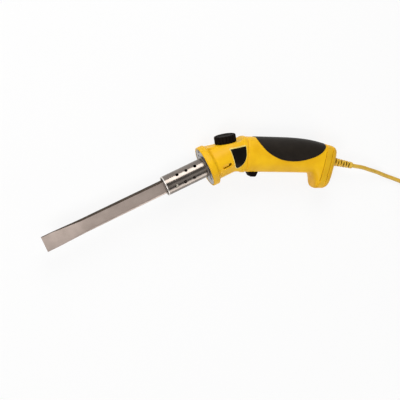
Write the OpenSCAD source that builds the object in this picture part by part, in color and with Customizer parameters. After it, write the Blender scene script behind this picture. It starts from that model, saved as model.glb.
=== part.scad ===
// Electric hot knife, lying on its right side: +X to the tail, +Y to the dial side, +Z up.
// Each piece is modelled in the tool's own frame: origin where the blade axis crosses the handle
// axis, x to the tail, y to the dial side, z to the left side. lay() then sets it on the surface.

/* [Handle] */
// Angle between the blade and the handle, in degrees
bend_angle = 26.5; // [24:0.5:29]
// Length of the handle from its front seam to its rear face
handle_len = 138; // [134:1:150]
// Height of the handle at the seam
handle_h = 49.7; // [49:0.1:52]
// Width of the handle
handle_w = 43; // [42:0.5:46]
// Height of the top line above the bend point
handle_rise = 26; // [25.5:0.1:27]
// Fall of the top line from the seam to the tail
tail_drop = 15.5; // [13:0.5:17]
// Depth of the tail foot below the underside
foot_drop = 22.3; // [19:0.1:27]
// Lean of the tail's rear face, as run over rise
tail_lean = 0.2; // [0.16:0.01:0.24]
// Wall of the plastic shells
shell_wall = 2.6; // [2.4:0.1:2.8]
// How far the rubber grip stands proud of the shell
grip_proud = 0.5; // [0.3:0.1:0.9]
// How deep the rubber grip is let into the shell
grip_depth = 1.2; // [0.8:0.1:1.5]
// How far the grip comes down each side
grip_drop = 31; // [28:0.5:35]

/* [Head] */
// Distance from the bend point to the seam between head and handle
seam_x = 20; // [19:0.5:23]
// Radius of the neck
neck_r = 24.3; // [24:0.1:25]
// Radius of the front flange
flange_r = 29.5; // [29:0.1:31]
// Distance from the bend point to the front face of the flange
flange_s = 41.5; // [41:0.5:44]
// Thickness of the flange rim
flange_t = 9.5; // [8.5:0.5:10.5]
// How far the collar at the seam stands proud
collar_proud = 0.9; // [0.6:0.1:1.3]
// Slope of the dial deck against the handle, in degrees
deck_tilt = 13.4; // [12:0.1:15]
// Wall under the dial deck
deck_wall = 2.6; // [2.2:0.1:3]

/* [Dial] */
// Radius of the dial
dial_r = 15.6; // [14:0.1:16.5]
// Height of the dial
dial_h = 10.4; // [9.5:0.1:13]
// Number of finger flutes around the dial
dial_flutes = 18; // [12:1:24]

/* [Trigger] */
// Length of the trigger along the handle
trigger_len = 15.4; // [14:0.1:16.5]
// Width of the trigger
trigger_w = 14; // [12:0.5:14.5]
// How far the trigger stands out below the handle
trigger_out = 7.4; // [6:0.1:9]
// Travel of the trigger
trigger_travel = 4; // [3:0.1:4.5]

/* [Blade and sleeve] */
// Outer diameter of the tube that the blade is flattened from
tube_d = 15.5; // [14.8:0.1:16]
// Wall of the blade tube
tube_wall = 0.8; // [0.6:0.05:0.9]
// Distance from the bend point to the blade's tip
tip_s = 290; // [260:1:320]
// Thickness of the blade at its tip
tip_t = 1.7; // [1.6:0.1:2.4]
// Length of the pressed flat at the tip
tip_flat = 14; // [10:1:40]
// Outer radius of the perforated sleeve
sleeve_r = 14.2; // [13.9:0.1:14.8]
// Wall of the sleeve
sleeve_wall = 0.9; // [0.7:0.1:1.1]
// Distance from the bend point to the mouth of the sleeve
sleeve_mouth_s = 105; // [103:1:112]
// Radius of the sleeve's air holes
sleeve_hole_r = 2.4; // [1.6:0.1:2.7]
// Spacing of the air holes along the sleeve
sleeve_hole_pitch = 14; // [12.5:0.5:14.5]

/* [Cord] */
// Length of the strain relief outside the tail
relief_len = 32; // [24:0.5:36]
// Radius of the strain relief at its root
relief_root_r = 6.3; // [5.4:0.1:6.8]
// Angle of the strain relief below the handle's axis, in degrees
relief_droop = 10; // [8:0.5:12]

/* [Hidden] */
$fn = 48;
// One overrun serves every cut
over = 1;
// Clearance of pieces that slide or turn past each other
clear = 0.3;
// Clearance of pieces that are set into each other
snug = 0.05;

// Colours as the photo shows them
yellow = "#f6bd20";
black = "#221d1e";
steel = "#b9b6b2";
blade_tan = "#aa9b91";
cord_yellow = "#d7aa32";
ceramic = "#e9e2d2";
copper = "#b8733f";
board_green = "#2f6b46";

// Handle lines and ends
handle_low = handle_rise - handle_h;
handle_mid = (handle_rise + handle_low) / 2;
tail_x = seam_x + handle_len;

// Handle sections: shares of the length, of the tail's fall, of the foot's drop, of the width and of
// the lean, then the power of the section's rounding
handle_shares = [
    [0, 0, 0, 1, 0, 2.6], [0.1, 0, 0, 1, 0, 2.6], [0.29, 0, 0, 0.985, 0, 2.5],
    [0.47, 0.01, 0, 0.98, 0, 2.5], [0.58, 0.06, 0, 0.985, 0.25, 2.6], [0.66, 0.13, 0, 0.99, 0.5, 2.7],
    [0.72, 0.225, 0, 1, 0.8, 2.9], [0.758, 0.295, 0.03, 1, 1, 3], [0.782, 0.34, 0.17, 1, 1, 3.1],
    [0.796, 0.365, 0.32, 1, 1, 3.15], [0.812, 0.4, 0.64, 1, 1, 3.2], [0.826, 0.43, 0.91, 1, 1, 3.3],
    [0.84, 0.46, 0.98, 1, 1, 3.4], [0.855, 0.49, 1, 1, 1, 3.4],
    [0.942, 0.645, 1, 0.72, 1, 3.4], [0.978, 0.8, 0.94, 0.6, 1, 3.2], [1, 1, 0.8, 0.48, 1, 3]];
// Share of the handle's length where the tail's full width ends and the tool rests
rest_share = 0.855;
section_steps = 14;
// Turn of a section's top
top_turn = 90;

function signed_power(v, p) = sign(v) * pow(abs(v), p);
function handle_value(share, column) = lookup(share, [for (row = handle_shares) [row[0], row[column]]]);

// A section is its origin, its upward direction in the side view, its low and high end along that
// direction, its half width and the power of its rounding
function handle_section(share, grow) = [
    seam_x + handle_len * share, 0, tail_lean * handle_value(share, 4), 1,
    handle_low - foot_drop * handle_value(share, 2) - grow,
    handle_rise - tail_drop * handle_value(share, 1) + grow,
    handle_w / 2 * handle_value(share, 3) + grow, handle_value(share, 5)];
function section_point(s, t) =
    let (mid = (s[4] + s[5]) / 2, half = (s[5] - s[4]) / 2,
         v = mid + half * signed_power(sin(t), 2 / s[7]))
    [s[0] + s[2] * v, s[1] + s[3] * v, s[6] * signed_power(cos(t), 2 / s[7])];
function whole_loop(s) =
    [for (k = [0 : 2 * section_steps - 1]) section_point(s, 180 * k / section_steps)];
function left_loop(s) =
    [for (k = [0 : section_steps]) section_point(s, 180 * k / section_steps - 90)];

// Skin of triangles through loops of equally many points
module loft(loops) {
    n = len(loops[0]);
    last = len(loops) - 1;
    polyhedron(
        points = [for (loop = loops) each loop],
        faces = concat(
            [[for (k = [n - 1 : -1 : 0]) k]],
            [[for (k = [0 : n - 1]) last * n + k]],
            [for (i = [0 : last - 1]) for (k = [0 : n - 1])
                [i * n + k, i * n + (k + 1) % n, (i + 1) * n + k]],
            [for (i = [0 : last - 1]) for (k = [0 : n - 1])
                [i * n + (k + 1) % n, (i + 1) * n + (k + 1) % n, (i + 1) * n + k]]));
}

// Tube of triangles along points, with rings square to the path; aside is never along the path
function unit(v) = v / norm(v);
function path_way(p, i) = unit(p[min(i + 1, len(p) - 1)] - p[max(i - 1, 0)]);
function ring_at(p, i, r, sides, aside) =
    let (way = path_way(p, i), across = unit(cross(way, aside)), rise = cross(across, way))
    [for (k = [0 : sides - 1])
        p[i] + r * (cos(360 * k / sides) * across + sin(360 * k / sides) * rise)];
module tube_along(p, r, sides, aside) {
    loft([for (i = [0 : len(p) - 1]) ring_at(p, i, r, sides, aside)]);
}
function least_gap(p, d, apart) =
    min([for (i = [0 : len(p) - 1]) for (j = [i + apart : 1 : len(p) - 1]) norm(p[i] - p[j])]) - d;

// Directions of the blade axis, and pieces placed along it with x to the dial side
head_way = [-cos(bend_angle), -sin(bend_angle)];
head_up = [-sin(bend_angle), cos(bend_angle)];
module on_head(s = 0) {
    rotate([0, 0, bend_angle]) rotate([0, -90, 0]) rotate([0, 0, 90]) translate([0, 0, s]) children();
}
module ring_of(count, r, turn = 0) {
    for (i = [0 : count - 1]) rotate([0, 0, turn + 360 * i / count]) translate([r, 0, 0]) children();
}
module stadium(w, t) {
    for (m = [-1, 1]) translate([m * (w - t) / 2, 0]) circle(d = t, $fn = 32);
    square([w - t, t], center = true);
}

// Dial deck: a flat cut across the top of the head, with z square to it
deck_point = [-8, 16.7];
deck_way = [cos(deck_tilt), sin(deck_tilt)];
deck_up = [-sin(deck_tilt), cos(deck_tilt)];
deck_gap = 0.6;
module on_deck() {
    translate([deck_point[0], deck_point[1], 0]) rotate([0, 0, deck_tilt]) rotate([-90, 0, 0]) children();
}

// Strain relief axis through the rear wall, with z outwards and x to the right side
relief_y = -7;
relief_x = tail_x + tail_lean * relief_y;
relief_way = [cos(relief_droop), -sin(relief_droop), 0];
module on_relief(d = 0) {
    translate([relief_x, relief_y, 0]) rotate([0, 0, -relief_droop]) rotate([0, 90, 0])
        translate([0, 0, d]) children();
}

// A tube pressed flat keeps its girth
tube_r = tube_d / 2;
function pressed_w(t) = (PI * (tube_d - tube_wall) - PI * (t - tube_wall)) / 2 + t;
tip_w = pressed_w(tip_t);

// The tool rests on the back edge of its flange and on the side of its tail, centred over the origin
rim_back_s = flange_s - flange_t;
rim_back_x = rim_back_s * head_way[0];
rest_x = section_point(handle_section(rest_share, 0), 0)[0];
rest_tilt = atan((flange_r - handle_w / 2) / (rest_x - rim_back_x));
rest_lift = rim_back_x * sin(rest_tilt) + flange_r * cos(rest_tilt);
front_end_x = tip_s * head_way[0] + tip_w / 2 * head_up[0];
rear_end_x = section_point(handle_section(1, 0), top_turn)[0];
low_end_y = tip_s * head_way[1] - tip_w / 2 * head_up[1];
high_end_y = deck_point[1] + (deck_gap + dial_h) * deck_up[1] + dial_r * deck_way[1];
lay_shift = [-(front_end_x + rear_end_x) / 2 * cos(rest_tilt), -(low_end_y + high_end_y) / 2, rest_lift];
module lay() {
    translate(lay_shift) rotate([0, rest_tilt, 0]) children();
}
function laid_way(p) =
    [p[0] * cos(rest_tilt) + p[2] * sin(rest_tilt), p[1], p[2] * cos(rest_tilt) - p[0] * sin(rest_tilt)];
function laid(p) = lay_shift + laid_way(p);

// Front housing: flange, neck, bend and collar, with the deck cut and the badge and vent recesses
crease_r = 6;
collar_len = 7;
collar_ramp = 1.2;
spigot_len = 5;
spigot_wall = 2;
plate_t = 1.2;
plate_inset = 0.4;
plate_margin = 2.5;
plate_r = flange_r - plate_margin;
plate_back_s = flange_s - plate_inset - plate_t;
plate_front_s = plate_back_s + plate_t;
front_wall_t = 4.5;
front_wall_s = plate_back_s - front_wall_t;
rim_round = 1.6;
rim_slope = 4.5;
disc_r = 15.5;
disc_t = 3;
disc_lip = 3;
vent_ring_r = 19;
vent_r = 2.2;
vent_count = 6;
plate_screw_ring_r = 24.4;
plate_screw_r = 1.3;
plate_screw_head_r = 2.3;
plate_screw_head_t = 1;
plate_screw_len = 6;
plate_screw_count = 3;
bush_r = 3.9;
deck_back = 16.5;
post_s = 9;
post_r = 3.5;
block_low = 6;
block_high = 4;
terminal_screw_r = 1.4;
terminal_screw_grip = 8;
slot_s = 14.9;
slot_low = 6.4;
slot_len = 15;
slot_h = 6;
slot_depth = 1.5;
slot_vent_len = 5;
slot_vent_h = 3.6;
badge_lift = 0.5;
badge_set = 1;
badge_shares = [
    [-0.3, 0.395], [0.575, 0.59], [0.64, 0.02], [0.54, -0.315], [0.4, -0.52], [0.19, -0.63], [0.08, -0.56]];
bend_shares = [1, 0.66, 0.33, 0];
bend_point = [((neck_r + crease_r) + (handle_low - crease_r) * cos(bend_angle)) / sin(bend_angle),
    handle_low - crease_r];
neck_back_s = bend_point[0] * head_way[0] + bend_point[1] * head_way[1];
neck_front_s = rim_back_s + rim_round;
neck_power = 2;
function neck_section(s, grow) = [
    s * head_way[0], s * head_way[1], head_up[0], head_up[1], -neck_r - grow, neck_r + grow,
    neck_r + grow, neck_power];
function bend_section(share, grow) =
    let (turn = bend_angle * share, tall = 2 * neck_r * share + handle_h * (1 - share),
         half = neck_r * share + handle_w / 2 * (1 - share),
         power = neck_power * share + handle_shares[0][5] * (1 - share))
    [bend_point[0], bend_point[1], -sin(turn), cos(turn), crease_r - grow, crease_r + tall + grow,
        half + grow, power];
function collar_section(x, grow) = [
    x, 0, 0, 1, handle_low - grow, handle_rise + grow, handle_w / 2 + grow, handle_shares[0][5]];
function head_sections(grow, collar, past) = concat(
    [neck_section(neck_front_s + past, grow), neck_section((neck_front_s + neck_back_s) / 2, grow)],
    [for (share = bend_shares) bend_section(share, grow)],
    [collar_section(seam_x - collar_len, grow),
     collar_section(seam_x - collar_len + collar_ramp, grow + collar),
     collar_section(seam_x + past, grow + collar)]);
module head_loft(grow, collar, past) {
    loft([for (s = head_sections(grow, collar, past)) whole_loop(s)]);
}
module deck_cut(drop) {
    start = deck_point - drop * deck_up - 2 * neck_r * deck_way;
    back = deck_point - drop * deck_up + deck_back * deck_way;
    top = handle_rise + 2 * neck_r;
    linear_extrude(4 * neck_r, center = true)
        polygon([start, back, [seam_x - collar_ramp, handle_rise + collar_proud + over - drop],
            [seam_x - collar_ramp, top], [start[0], top]]);
}
// Rim of the flange as radius and distance along the blade axis
module flange_ring() {
    on_head() rotate_extrude($fn = 96) polygon(concat(
        [[disc_r + snug, front_wall_s], [neck_r - shell_wall / 2, front_wall_s],
         [neck_r - shell_wall / 2, rim_back_s - rim_slope],
         [flange_r - rim_round, rim_back_s - rim_round / 2], [flange_r, rim_back_s]],
        [for (a = [0 : 15 : 90])
            [flange_r + rim_round * (cos(a) - 1), flange_s + rim_round * (sin(a) - 1)]],
        [[plate_r + clear, flange_s], [plate_r + clear, plate_back_s], [disc_r + snug, plate_back_s]]));
}
module disc_seat() {
    on_head(front_wall_s) difference() {
        cylinder(r = disc_r + over, h = front_wall_t - disc_t - snug);
        translate([0, 0, -over]) cylinder(r = disc_r - disc_lip, h = front_wall_t);
    }
}
module head_spigot() {
    difference() {
        loft([
            whole_loop(collar_section(seam_x - collar_len, -shell_wall / 2)),
            whole_loop(collar_section(seam_x - clear, -shell_wall / 2)),
            whole_loop(collar_section(seam_x, -shell_wall - snug)),
            whole_loop(collar_section(seam_x + spigot_len, -shell_wall - snug))]);
        loft([for (x = [seam_x - collar_len - over, seam_x + spigot_len + over])
            whole_loop(collar_section(x, -shell_wall - spigot_wall))]);
        translate([seam_x + clear, handle_low, -trigger_lip_w / 2 - clear])
            cube([spigot_len + over, handle_h / 4, trigger_lip_w + 2 * clear]);
    }
}
// Bare plate on each side of the head, wide at the top and drawn in to a narrow foot
module badge_prism() {
    linear_extrude(handle_w) polygon(neck_r * badge_shares);
}
module badge_skin(high) {
    intersection() {
        badge_prism();
        difference() {
            head_loft(high, collar_proud, 0);
            head_loft(-badge_set, collar_proud, over);
        }
    }
}
module slot_prism(s, run, tall) {
    on_head(s) translate([-slot_low, 0, 0]) rotate([90, 0, 0])
        translate([0, 0, neck_r / 2]) linear_extrude(neck_r) rotate([0, 0, 90]) stadium(run, tall);
}
// Recess in the side of the head, open to the inside at its back end
module side_slot() {
    intersection() {
        slot_prism(slot_s, slot_len, slot_h);
        difference() {
            head_loft(over, collar_proud, 0);
            head_loft(-slot_depth, collar_proud, over);
        }
    }
    slot_prism(slot_s - (slot_len - slot_h) / 2, slot_vent_len, slot_vent_h);
}
module front_housing() {
    color(yellow) lay() difference() {
        union() {
            flange_ring();
            disc_seat();
            difference() {
                head_loft(0, collar_proud, 0);
                deck_cut(0);
                difference() {
                    head_loft(-shell_wall, 0, over);
                    deck_cut(deck_wall);
                }
            }
            head_spigot();
            on_head(post_s) rotate([0, -90, 0]) translate([0, 0, block_low + snug])
                cylinder(r = post_r, h = neck_r - shell_wall / 2 - block_low);
        }
        on_head(front_wall_s - over) ring_of(vent_count, vent_ring_r, 180 / vent_count)
            cylinder(r = vent_r, h = flange_s, $fn = 24);
        on_head(plate_front_s - plate_screw_len - over) ring_of(plate_screw_count, plate_screw_ring_r)
            cylinder(r = plate_screw_r + snug, h = plate_screw_len + over, $fn = 24);
        on_deck() translate([0, 0, -2 * deck_wall]) cylinder(r = bush_r + snug, h = 4 * deck_wall);
        for (m = [0, 1]) mirror([0, 0, m]) badge_skin(badge_lift + over);
        side_slot();
        mirror([0, 0, 1]) side_slot();
        on_head(post_s) rotate([0, -90, 0]) translate([0, 0, block_low - over])
            cylinder(r = terminal_screw_r + snug, h = terminal_screw_grip + over, $fn = 24);
    }
}
module badge_left() {
    color(black) lay() badge_skin(badge_lift);
}
module badge_right() {
    color(black) lay() mirror([0, 0, 1]) badge_skin(badge_lift);
}

// Rubber grip: an edge curve on the side, then outer and inner skins down to that edge; with room it is
// the pocket for the grip, which runs past the middle
grip_front_share = 0.1;
grip_back_share = 0.842;
grip_edge_powers = [0.74, 0.625];
grip_span_shares = [
    0.006, 0.02, 0.05, 0.1, 0.16, 0.24, 0.34, 0.45, 0.56, 0.66, 0.76, 0.84, 0.9, 0.95, 0.98, 0.99];
grip_steps = 7;
function grip_fall(u) = grip_drop * pow(1 - pow(2 * u - 1, 2), grip_edge_powers[u < 0.5 ? 0 : 1]);
function grip_share(u) = grip_front_share + (grip_back_share - grip_front_share) * u;
function edge_turn(s, fall) =
    let (half = (s[5] - s[4]) / 2) asin(signed_power((half - fall) / half, s[7] / 2));
function grip_loop(u, room) =
    let (share = grip_share(u) + sign(u - 0.5) * room / handle_len, outer = handle_section(share, grip_proud),
         inner = handle_section(share, -grip_depth - room),
         low = edge_turn(handle_section(share, 0), grip_fall(u) + room),
         past = room > 0 ? [[0, 0, -over]] : [])
    concat([for (k = [0 : grip_steps]) section_point(outer, low + (top_turn - low) * k / grip_steps)],
        [for (v = past) section_point(outer, top_turn) + v],
        [for (v = past) section_point(inner, top_turn) + v],
        [for (k = [grip_steps : -1 : 0]) section_point(inner, low + (top_turn - low) * k / grip_steps)]);
module grip_skin(room) {
    loft([for (u = grip_span_shares) grip_loop(u, room)]);
}
module grip_left() {
    color(black) lay() grip_skin(0);
}
module grip_right() {
    color(black) lay() mirror([0, 0, 1]) grip_skin(0);
}

// Handle shells with screw bosses, switch posts, board ledges and, on the right, the cord saddle
screw_in = 10;
screw_up = 15;
screw_low = 7.8;
screw_shares = [0.377, 0.58];
screw_tail = [22, 11.5, 6.5];
screw_places = concat(
    [[seam_x + screw_in, handle_mid + screw_up]],
    [for (share = screw_shares) [seam_x + handle_len * share, handle_low + screw_low]],
    [[tail_x - screw_tail[0], handle_low - foot_drop / 2],
     [tail_x - screw_tail[1], handle_rise - tail_drop - screw_tail[2]]]);
screw_r = 1.5;
screw_head_r = 2.9;
screw_head_t = 2.2;
screw_grip = 9;
screw_seat = 8;
boss_r = 4.2;
trigger_in = 12.8;
trigger_x = seam_x + trigger_in;
trigger_lip = 2;
trigger_lip_t = 2;
trigger_lip_w = trigger_w + 3;
trigger_lift = 1.4;
trigger_base = handle_low + shell_wall + trigger_lift;
trigger_top = trigger_base + trigger_lip_t;
plunger_r = 2;
plunger_in = 3;
switch_gap = 6.4;
switch_low = trigger_top + switch_gap;
switch_h = 15;
switch_len = 20;
switch_w = 14;
switch_post_r = 2.6;
board_share = 0.507;
board_in = handle_len * board_share;
board_x = seam_x + board_in;
board_len_share = 0.2464;
board_len = handle_len * board_len_share;
board_w = 28;
board_t = 1.6;
board_low = 4;
board_y = handle_mid - board_low;
ledge_w = 4;
ledge_h = 3;
ledge_shares = [0.2, 0.8];
rear_wall = 1.2 * shell_wall;
cord_d = 6;
clamp_share = 0.1595;
clamp_depth = handle_len * clamp_share;
clamp_w = 8;
clamp_span = 22;
clamp_t = 3;
clamp_screw_span = 14;
clamp_screw_r = 1.4;
clamp_screw_head_r = 2.6;
clamp_screw_head_t = 1.8;
clamp_screw_grip = 9;
module handle_outer_left(grow = 0) {
    loft([for (row = handle_shares) left_loop(handle_section(row[0], grow))]);
}
// The hollow follows the shell one wall further in, and at the front of the foot one wall further back
function hollow_section(row) =
    let (front = row[2] > 0 && row[0] <= rest_share, share = row[0] + (front ? shell_wall / handle_len : 0),
         s = handle_section(share, -shell_wall))
    [s[0], s[1], s[2], s[3], front ? handle_low - foot_drop * row[2] + shell_wall : s[4], s[5], s[6], s[7]];
module handle_inner() {
    end_share = 1 - rear_wall / handle_len;
    loft(concat(
        [whole_loop(collar_section(seam_x - over, -shell_wall))],
        [for (row = handle_shares) if (row[0] < end_share) whole_loop(hollow_section(row))],
        [whole_loop(handle_section(end_share, -shell_wall))]));
}
module bosses() {
    for (p = screw_places) translate([p[0], p[1], 0]) cylinder(r = boss_r, h = handle_w);
    translate([trigger_x, switch_low + switch_h / 2, switch_w / 2 + snug])
        cylinder(r = switch_post_r, h = handle_w);
    for (share = ledge_shares)
        translate([board_x + board_len * share - ledge_w / 2, board_y - board_t / 2 - ledge_h - snug,
                board_w / 2 - ledge_w / 2])
            cube([ledge_w, ledge_h, handle_w]);
}
module shell_blank() {
    difference() {
        handle_outer_left();
        handle_inner();
        grip_skin(snug);
        translate([trigger_x - trigger_len / 2 - clear, handle_low - over, -over])
            cube([trigger_len + 2 * clear, 2 * shell_wall + over, trigger_w / 2 + clear + over]);
        on_relief(-2 * rear_wall) cylinder(r = relief_root_r + snug, h = 4 * rear_wall);
    }
    intersection() {
        bosses();
        handle_outer_left(-shell_wall / 2);
    }
}
module clamp_saddle() {
    intersection() {
        on_relief(-clamp_depth) translate([cord_d / 2 + snug, -clamp_span / 2, -clamp_w / 2])
            cube([handle_w, clamp_span, clamp_w]);
        mirror([0, 0, 1]) handle_outer_left(-shell_wall / 2);
    }
}
// Clamp screws run along z from the cord's axis to the right side
module clamp_screw_places() {
    on_relief(-clamp_depth) for (m = [-1, 1]) translate([0, m * clamp_screw_span / 2, 0])
        rotate([0, 90, 0]) children();
}
module handle_shell_left() {
    color(yellow) lay() difference() {
        shell_blank();
        for (p = screw_places) translate([p[0], p[1], -over])
            cylinder(r = screw_r + snug, h = screw_grip + over, $fn = 24);
    }
}
module handle_shell_right() {
    color(yellow) lay() difference() {
        union() {
            mirror([0, 0, 1]) shell_blank();
            clamp_saddle();
        }
        for (p = screw_places) translate([p[0], p[1], -handle_w]) {
            cylinder(r = screw_r + snug, h = handle_w + over, $fn = 24);
            cylinder(r = screw_head_r + clear, h = handle_w - screw_seat, $fn = 32);
        }
        clamp_screw_places() cylinder(r = clamp_screw_r + snug, h = cord_d / 2 + clamp_screw_grip, $fn = 24);
    }
}
module housing_screws() {
    color(steel) lay() for (p = screw_places) translate([p[0], p[1], -screw_seat]) {
        translate([0, 0, -screw_head_t]) difference() {
            cylinder(r = screw_head_r, h = screw_head_t, $fn = 32);
            translate([0, 0, -over]) cylinder(r = screw_r, h = screw_head_t / 2 + over, $fn = 6);
        }
        cylinder(r = screw_r, h = screw_seat + screw_grip - clear, $fn = 24);
    }
}

// Vent plate, its screws and the perforated sleeve on it
sleeve_foot = 2.2;
sleeve_rows = 6;
sleeve_row_turn = 45;
sleeve_row_holes = 3;
sleeve_first_s = 56;
sleeve_len = sleeve_mouth_s - plate_front_s;
module vent_plate() {
    color(steel) lay() on_head(plate_back_s) difference() {
        cylinder(r = plate_r, h = plate_t, $fn = 96);
        translate([0, 0, -over]) {
            cylinder(r = tube_r + clear, h = plate_t + 2 * over);
            ring_of(vent_count, vent_ring_r, 180 / vent_count)
                cylinder(r = vent_r, h = plate_t + 2 * over, $fn = 24);
            ring_of(plate_screw_count, plate_screw_ring_r)
                cylinder(r = plate_screw_r + snug, h = plate_t + 2 * over, $fn = 24);
        }
    }
}
module vent_plate_screws() {
    color(steel) lay() on_head(plate_front_s) ring_of(plate_screw_count, plate_screw_ring_r) {
        difference() {
            cylinder(r = plate_screw_head_r, h = plate_screw_head_t, $fn = 32);
            translate([-plate_screw_head_r, -plate_screw_head_t / 4, plate_screw_head_t / 2])
                cube([2 * plate_screw_head_r, plate_screw_head_t / 2, plate_screw_head_t]);
        }
        translate([0, 0, -plate_screw_len]) cylinder(r = plate_screw_r, h = plate_screw_len, $fn = 24);
    }
}
module heat_sleeve() {
    color(steel) lay() difference() {
        on_head(plate_front_s) rotate_extrude($fn = 96) polygon([
            [sleeve_r - sleeve_wall, 0], [sleeve_r + sleeve_foot, 0], [sleeve_r + sleeve_foot, sleeve_wall],
            [sleeve_r, sleeve_wall], [sleeve_r, sleeve_len], [sleeve_r - sleeve_wall, sleeve_len]]);
        for (i = [0 : sleeve_rows - 1]) for (k = [0 : sleeve_row_holes - 1])
            on_head(sleeve_first_s + sleeve_hole_pitch * (k + (i % 2) / 2))
                rotate([0, 0, -90 + sleeve_row_turn + 360 * i / sleeve_rows]) rotate([0, 90, 0])
                    translate([0, 0, sleeve_r / 2]) cylinder(r = sleeve_hole_r, h = sleeve_r, $fn = 24);
    }
}

// Blade: a round tube pressed to an oval in the sleeve and to a flat at the tip
mouth_t = 7;
body_t = 6;
press_start_s = 78;
press_len = 46;
press_end_s = tip_s - tip_flat - press_len;
tube_back_s = 22;
blade_steps = 6;
press_steps = 8;
hollow_t = 3.4;
spacer_s = 88;
spacer_t = 3;
function eased(v) = v < 0 ? 0 : v > 1 ? 1 : v * v * (3 - 2 * v);
function blade_t(s) =
    s < sleeve_mouth_s
    ? tube_d + (mouth_t - tube_d) * eased((s - press_start_s) / (sleeve_mouth_s - press_start_s))
    : s < press_end_s ? mouth_t + (body_t - mouth_t) * (s - sleeve_mouth_s) / (press_end_s - sleeve_mouth_s)
    : body_t + (tip_t - body_t) * min((s - press_end_s) / press_len, 1);
// Oval of the pressed tube at one place, grown or shrunk all round
function blade_oval(t, grow) =
    let (run = max(pressed_w(t) - t, 0) / 2)
    [for (m = [1, -1]) for (k = [0 : blade_steps])
        [m * run, 0] + m * (t / 2 + grow) * [sin(180 * k / blade_steps), cos(180 * k / blade_steps)]];
function blade_loop(s, t, grow) = [for (p = blade_oval(t, grow)) [p[0], p[1], s]];
blade_stations = concat(
    [for (k = [0 : press_steps]) press_start_s + (sleeve_mouth_s - press_start_s) * k / press_steps],
    [for (k = [0 : press_steps]) press_end_s + press_len * k / press_steps], [tip_s]);
module blade() {
    color(blade_tan) lay() on_head() {
        translate([0, 0, tube_back_s]) difference() {
            cylinder(r = tube_r, h = press_start_s - tube_back_s, $fn = 96);
            translate([0, 0, -over]) cylinder(r = tube_r - tube_wall, h = press_start_s, $fn = 96);
        }
        difference() {
            loft([for (s = blade_stations) blade_loop(s, min(blade_t(s), tube_d - snug), 0)]);
            loft(concat(
                [blade_loop(press_start_s - over, tube_d - snug, -tube_wall)],
                [for (s = blade_stations) if (s > press_start_s && blade_t(s) > hollow_t)
                    blade_loop(s, blade_t(s), -tube_wall)]));
        }
    }
}
module mouth_spacer() {
    color(ceramic) lay() on_head(spacer_s) difference() {
        cylinder(r = sleeve_r - sleeve_wall - snug, h = spacer_t, $fn = 96);
        translate([0, 0, -over]) linear_extrude(spacer_t + 2 * over)
            stadium(pressed_w(blade_t(spacer_s + spacer_t)) + clear, blade_t(spacer_s) + clear);
    }
}

// Heater inside the blade, and what holds the blade behind the vent plate
seal_len = 6;
core_w = 10;
core_t = 2.8;
core_len = 168;
core_back_s = tube_back_s + seal_len;
winding_r = 0.25;
winding_turns = 12;
winding_first = 60;
winding_pitch = 8;
winding_rings = 12;
lead_r = 1;
lead_span = 3;
lead_in = 3;
collar_r = 11.5;
collar_t = 7.5;
collar_screw_r = 1.8;
block_len = 10;
block_w = 18;
block_back_s = post_s - block_len / 2;
block_front_s = post_s + block_len / 2;
feed_span = 6;
terminal_head_r = 2.6;
terminal_head_t = 1.4;
winding_run = (core_w - core_t) / 2;
winding_loop_r = core_t / 2 + winding_r + clear / 2;
winding_path = [for (k = [0 : winding_turns * winding_rings])
    let (turn = 360 * (k + 0.5) / winding_rings)
    [winding_run * sign(cos(turn)) + winding_loop_r * cos(turn), winding_loop_r * sin(turn),
     winding_first + winding_pitch * k / winding_rings]];
module heater_core() {
    color(ceramic) lay() on_head(core_back_s) linear_extrude(core_len) stadium(core_w, core_t);
}
module heater_winding() {
    color(steel) lay() on_head(core_back_s) tube_along(winding_path, winding_r, 4, [0, 0, 1]);
}
module heater_seal() {
    color(ceramic) lay() on_head(tube_back_s) difference() {
        cylinder(r = tube_r - tube_wall - snug, h = seal_len);
        for (m = [-1, 1]) translate([0, m * lead_span, -over])
            cylinder(r = lead_r + snug, h = seal_len + 2 * over, $fn = 24);
    }
}
module heater_leads() {
    color(copper) lay() on_head(block_front_s - lead_in) for (m = [-1, 1]) translate([0, m * lead_span, 0])
        cylinder(r = lead_r, h = tube_back_s + seal_len - block_front_s + lead_in, $fn = 24);
}
module ceramic_disc() {
    color(ceramic) lay() on_head(plate_back_s - disc_t) difference() {
        cylinder(r = disc_r, h = disc_t, $fn = 96);
        translate([0, 0, -over]) cylinder(r = tube_r + snug, h = disc_t + 2 * over);
    }
}
module blade_collar() {
    color(steel) lay() on_head(front_wall_s - collar_t) difference() {
        cylinder(r = collar_r + disc_lip, h = collar_t, $fn = 64);
        translate([0, 0, -over]) cylinder(r = tube_r + snug, h = collar_t + 2 * over);
        translate([0, 0, collar_t / 2]) for (m = [0, 180]) rotate([0, 90, m])
            cylinder(r = collar_screw_r + snug, h = 2 * collar_r, $fn = 24);
    }
}
module collar_screws() {
    color(steel) lay() on_head(front_wall_s - collar_t / 2) for (m = [0, 180]) rotate([0, 90, m])
        translate([0, 0, tube_r + snug])
            cylinder(r = collar_screw_r, h = collar_r + disc_lip - tube_r, $fn = 24);
}
module terminal_block() {
    color(ceramic) lay() on_head(block_back_s) difference() {
        translate([-block_low, -block_w / 2, 0]) cube([block_low + block_high, block_w, block_len]);
        for (m = [-1, 1]) {
            translate([0, m * lead_span, block_len - lead_in - snug])
                cylinder(r = lead_r + snug, h = block_len, $fn = 24);
            translate([0, m * feed_span, -over]) cylinder(r = lead_r + snug, h = lead_in + over, $fn = 24);
        }
        translate([-block_low - over, 0, block_len / 2]) rotate([0, 90, 0])
            cylinder(r = terminal_screw_r + snug, h = block_low + block_high + 2 * over, $fn = 24);
    }
}
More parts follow.
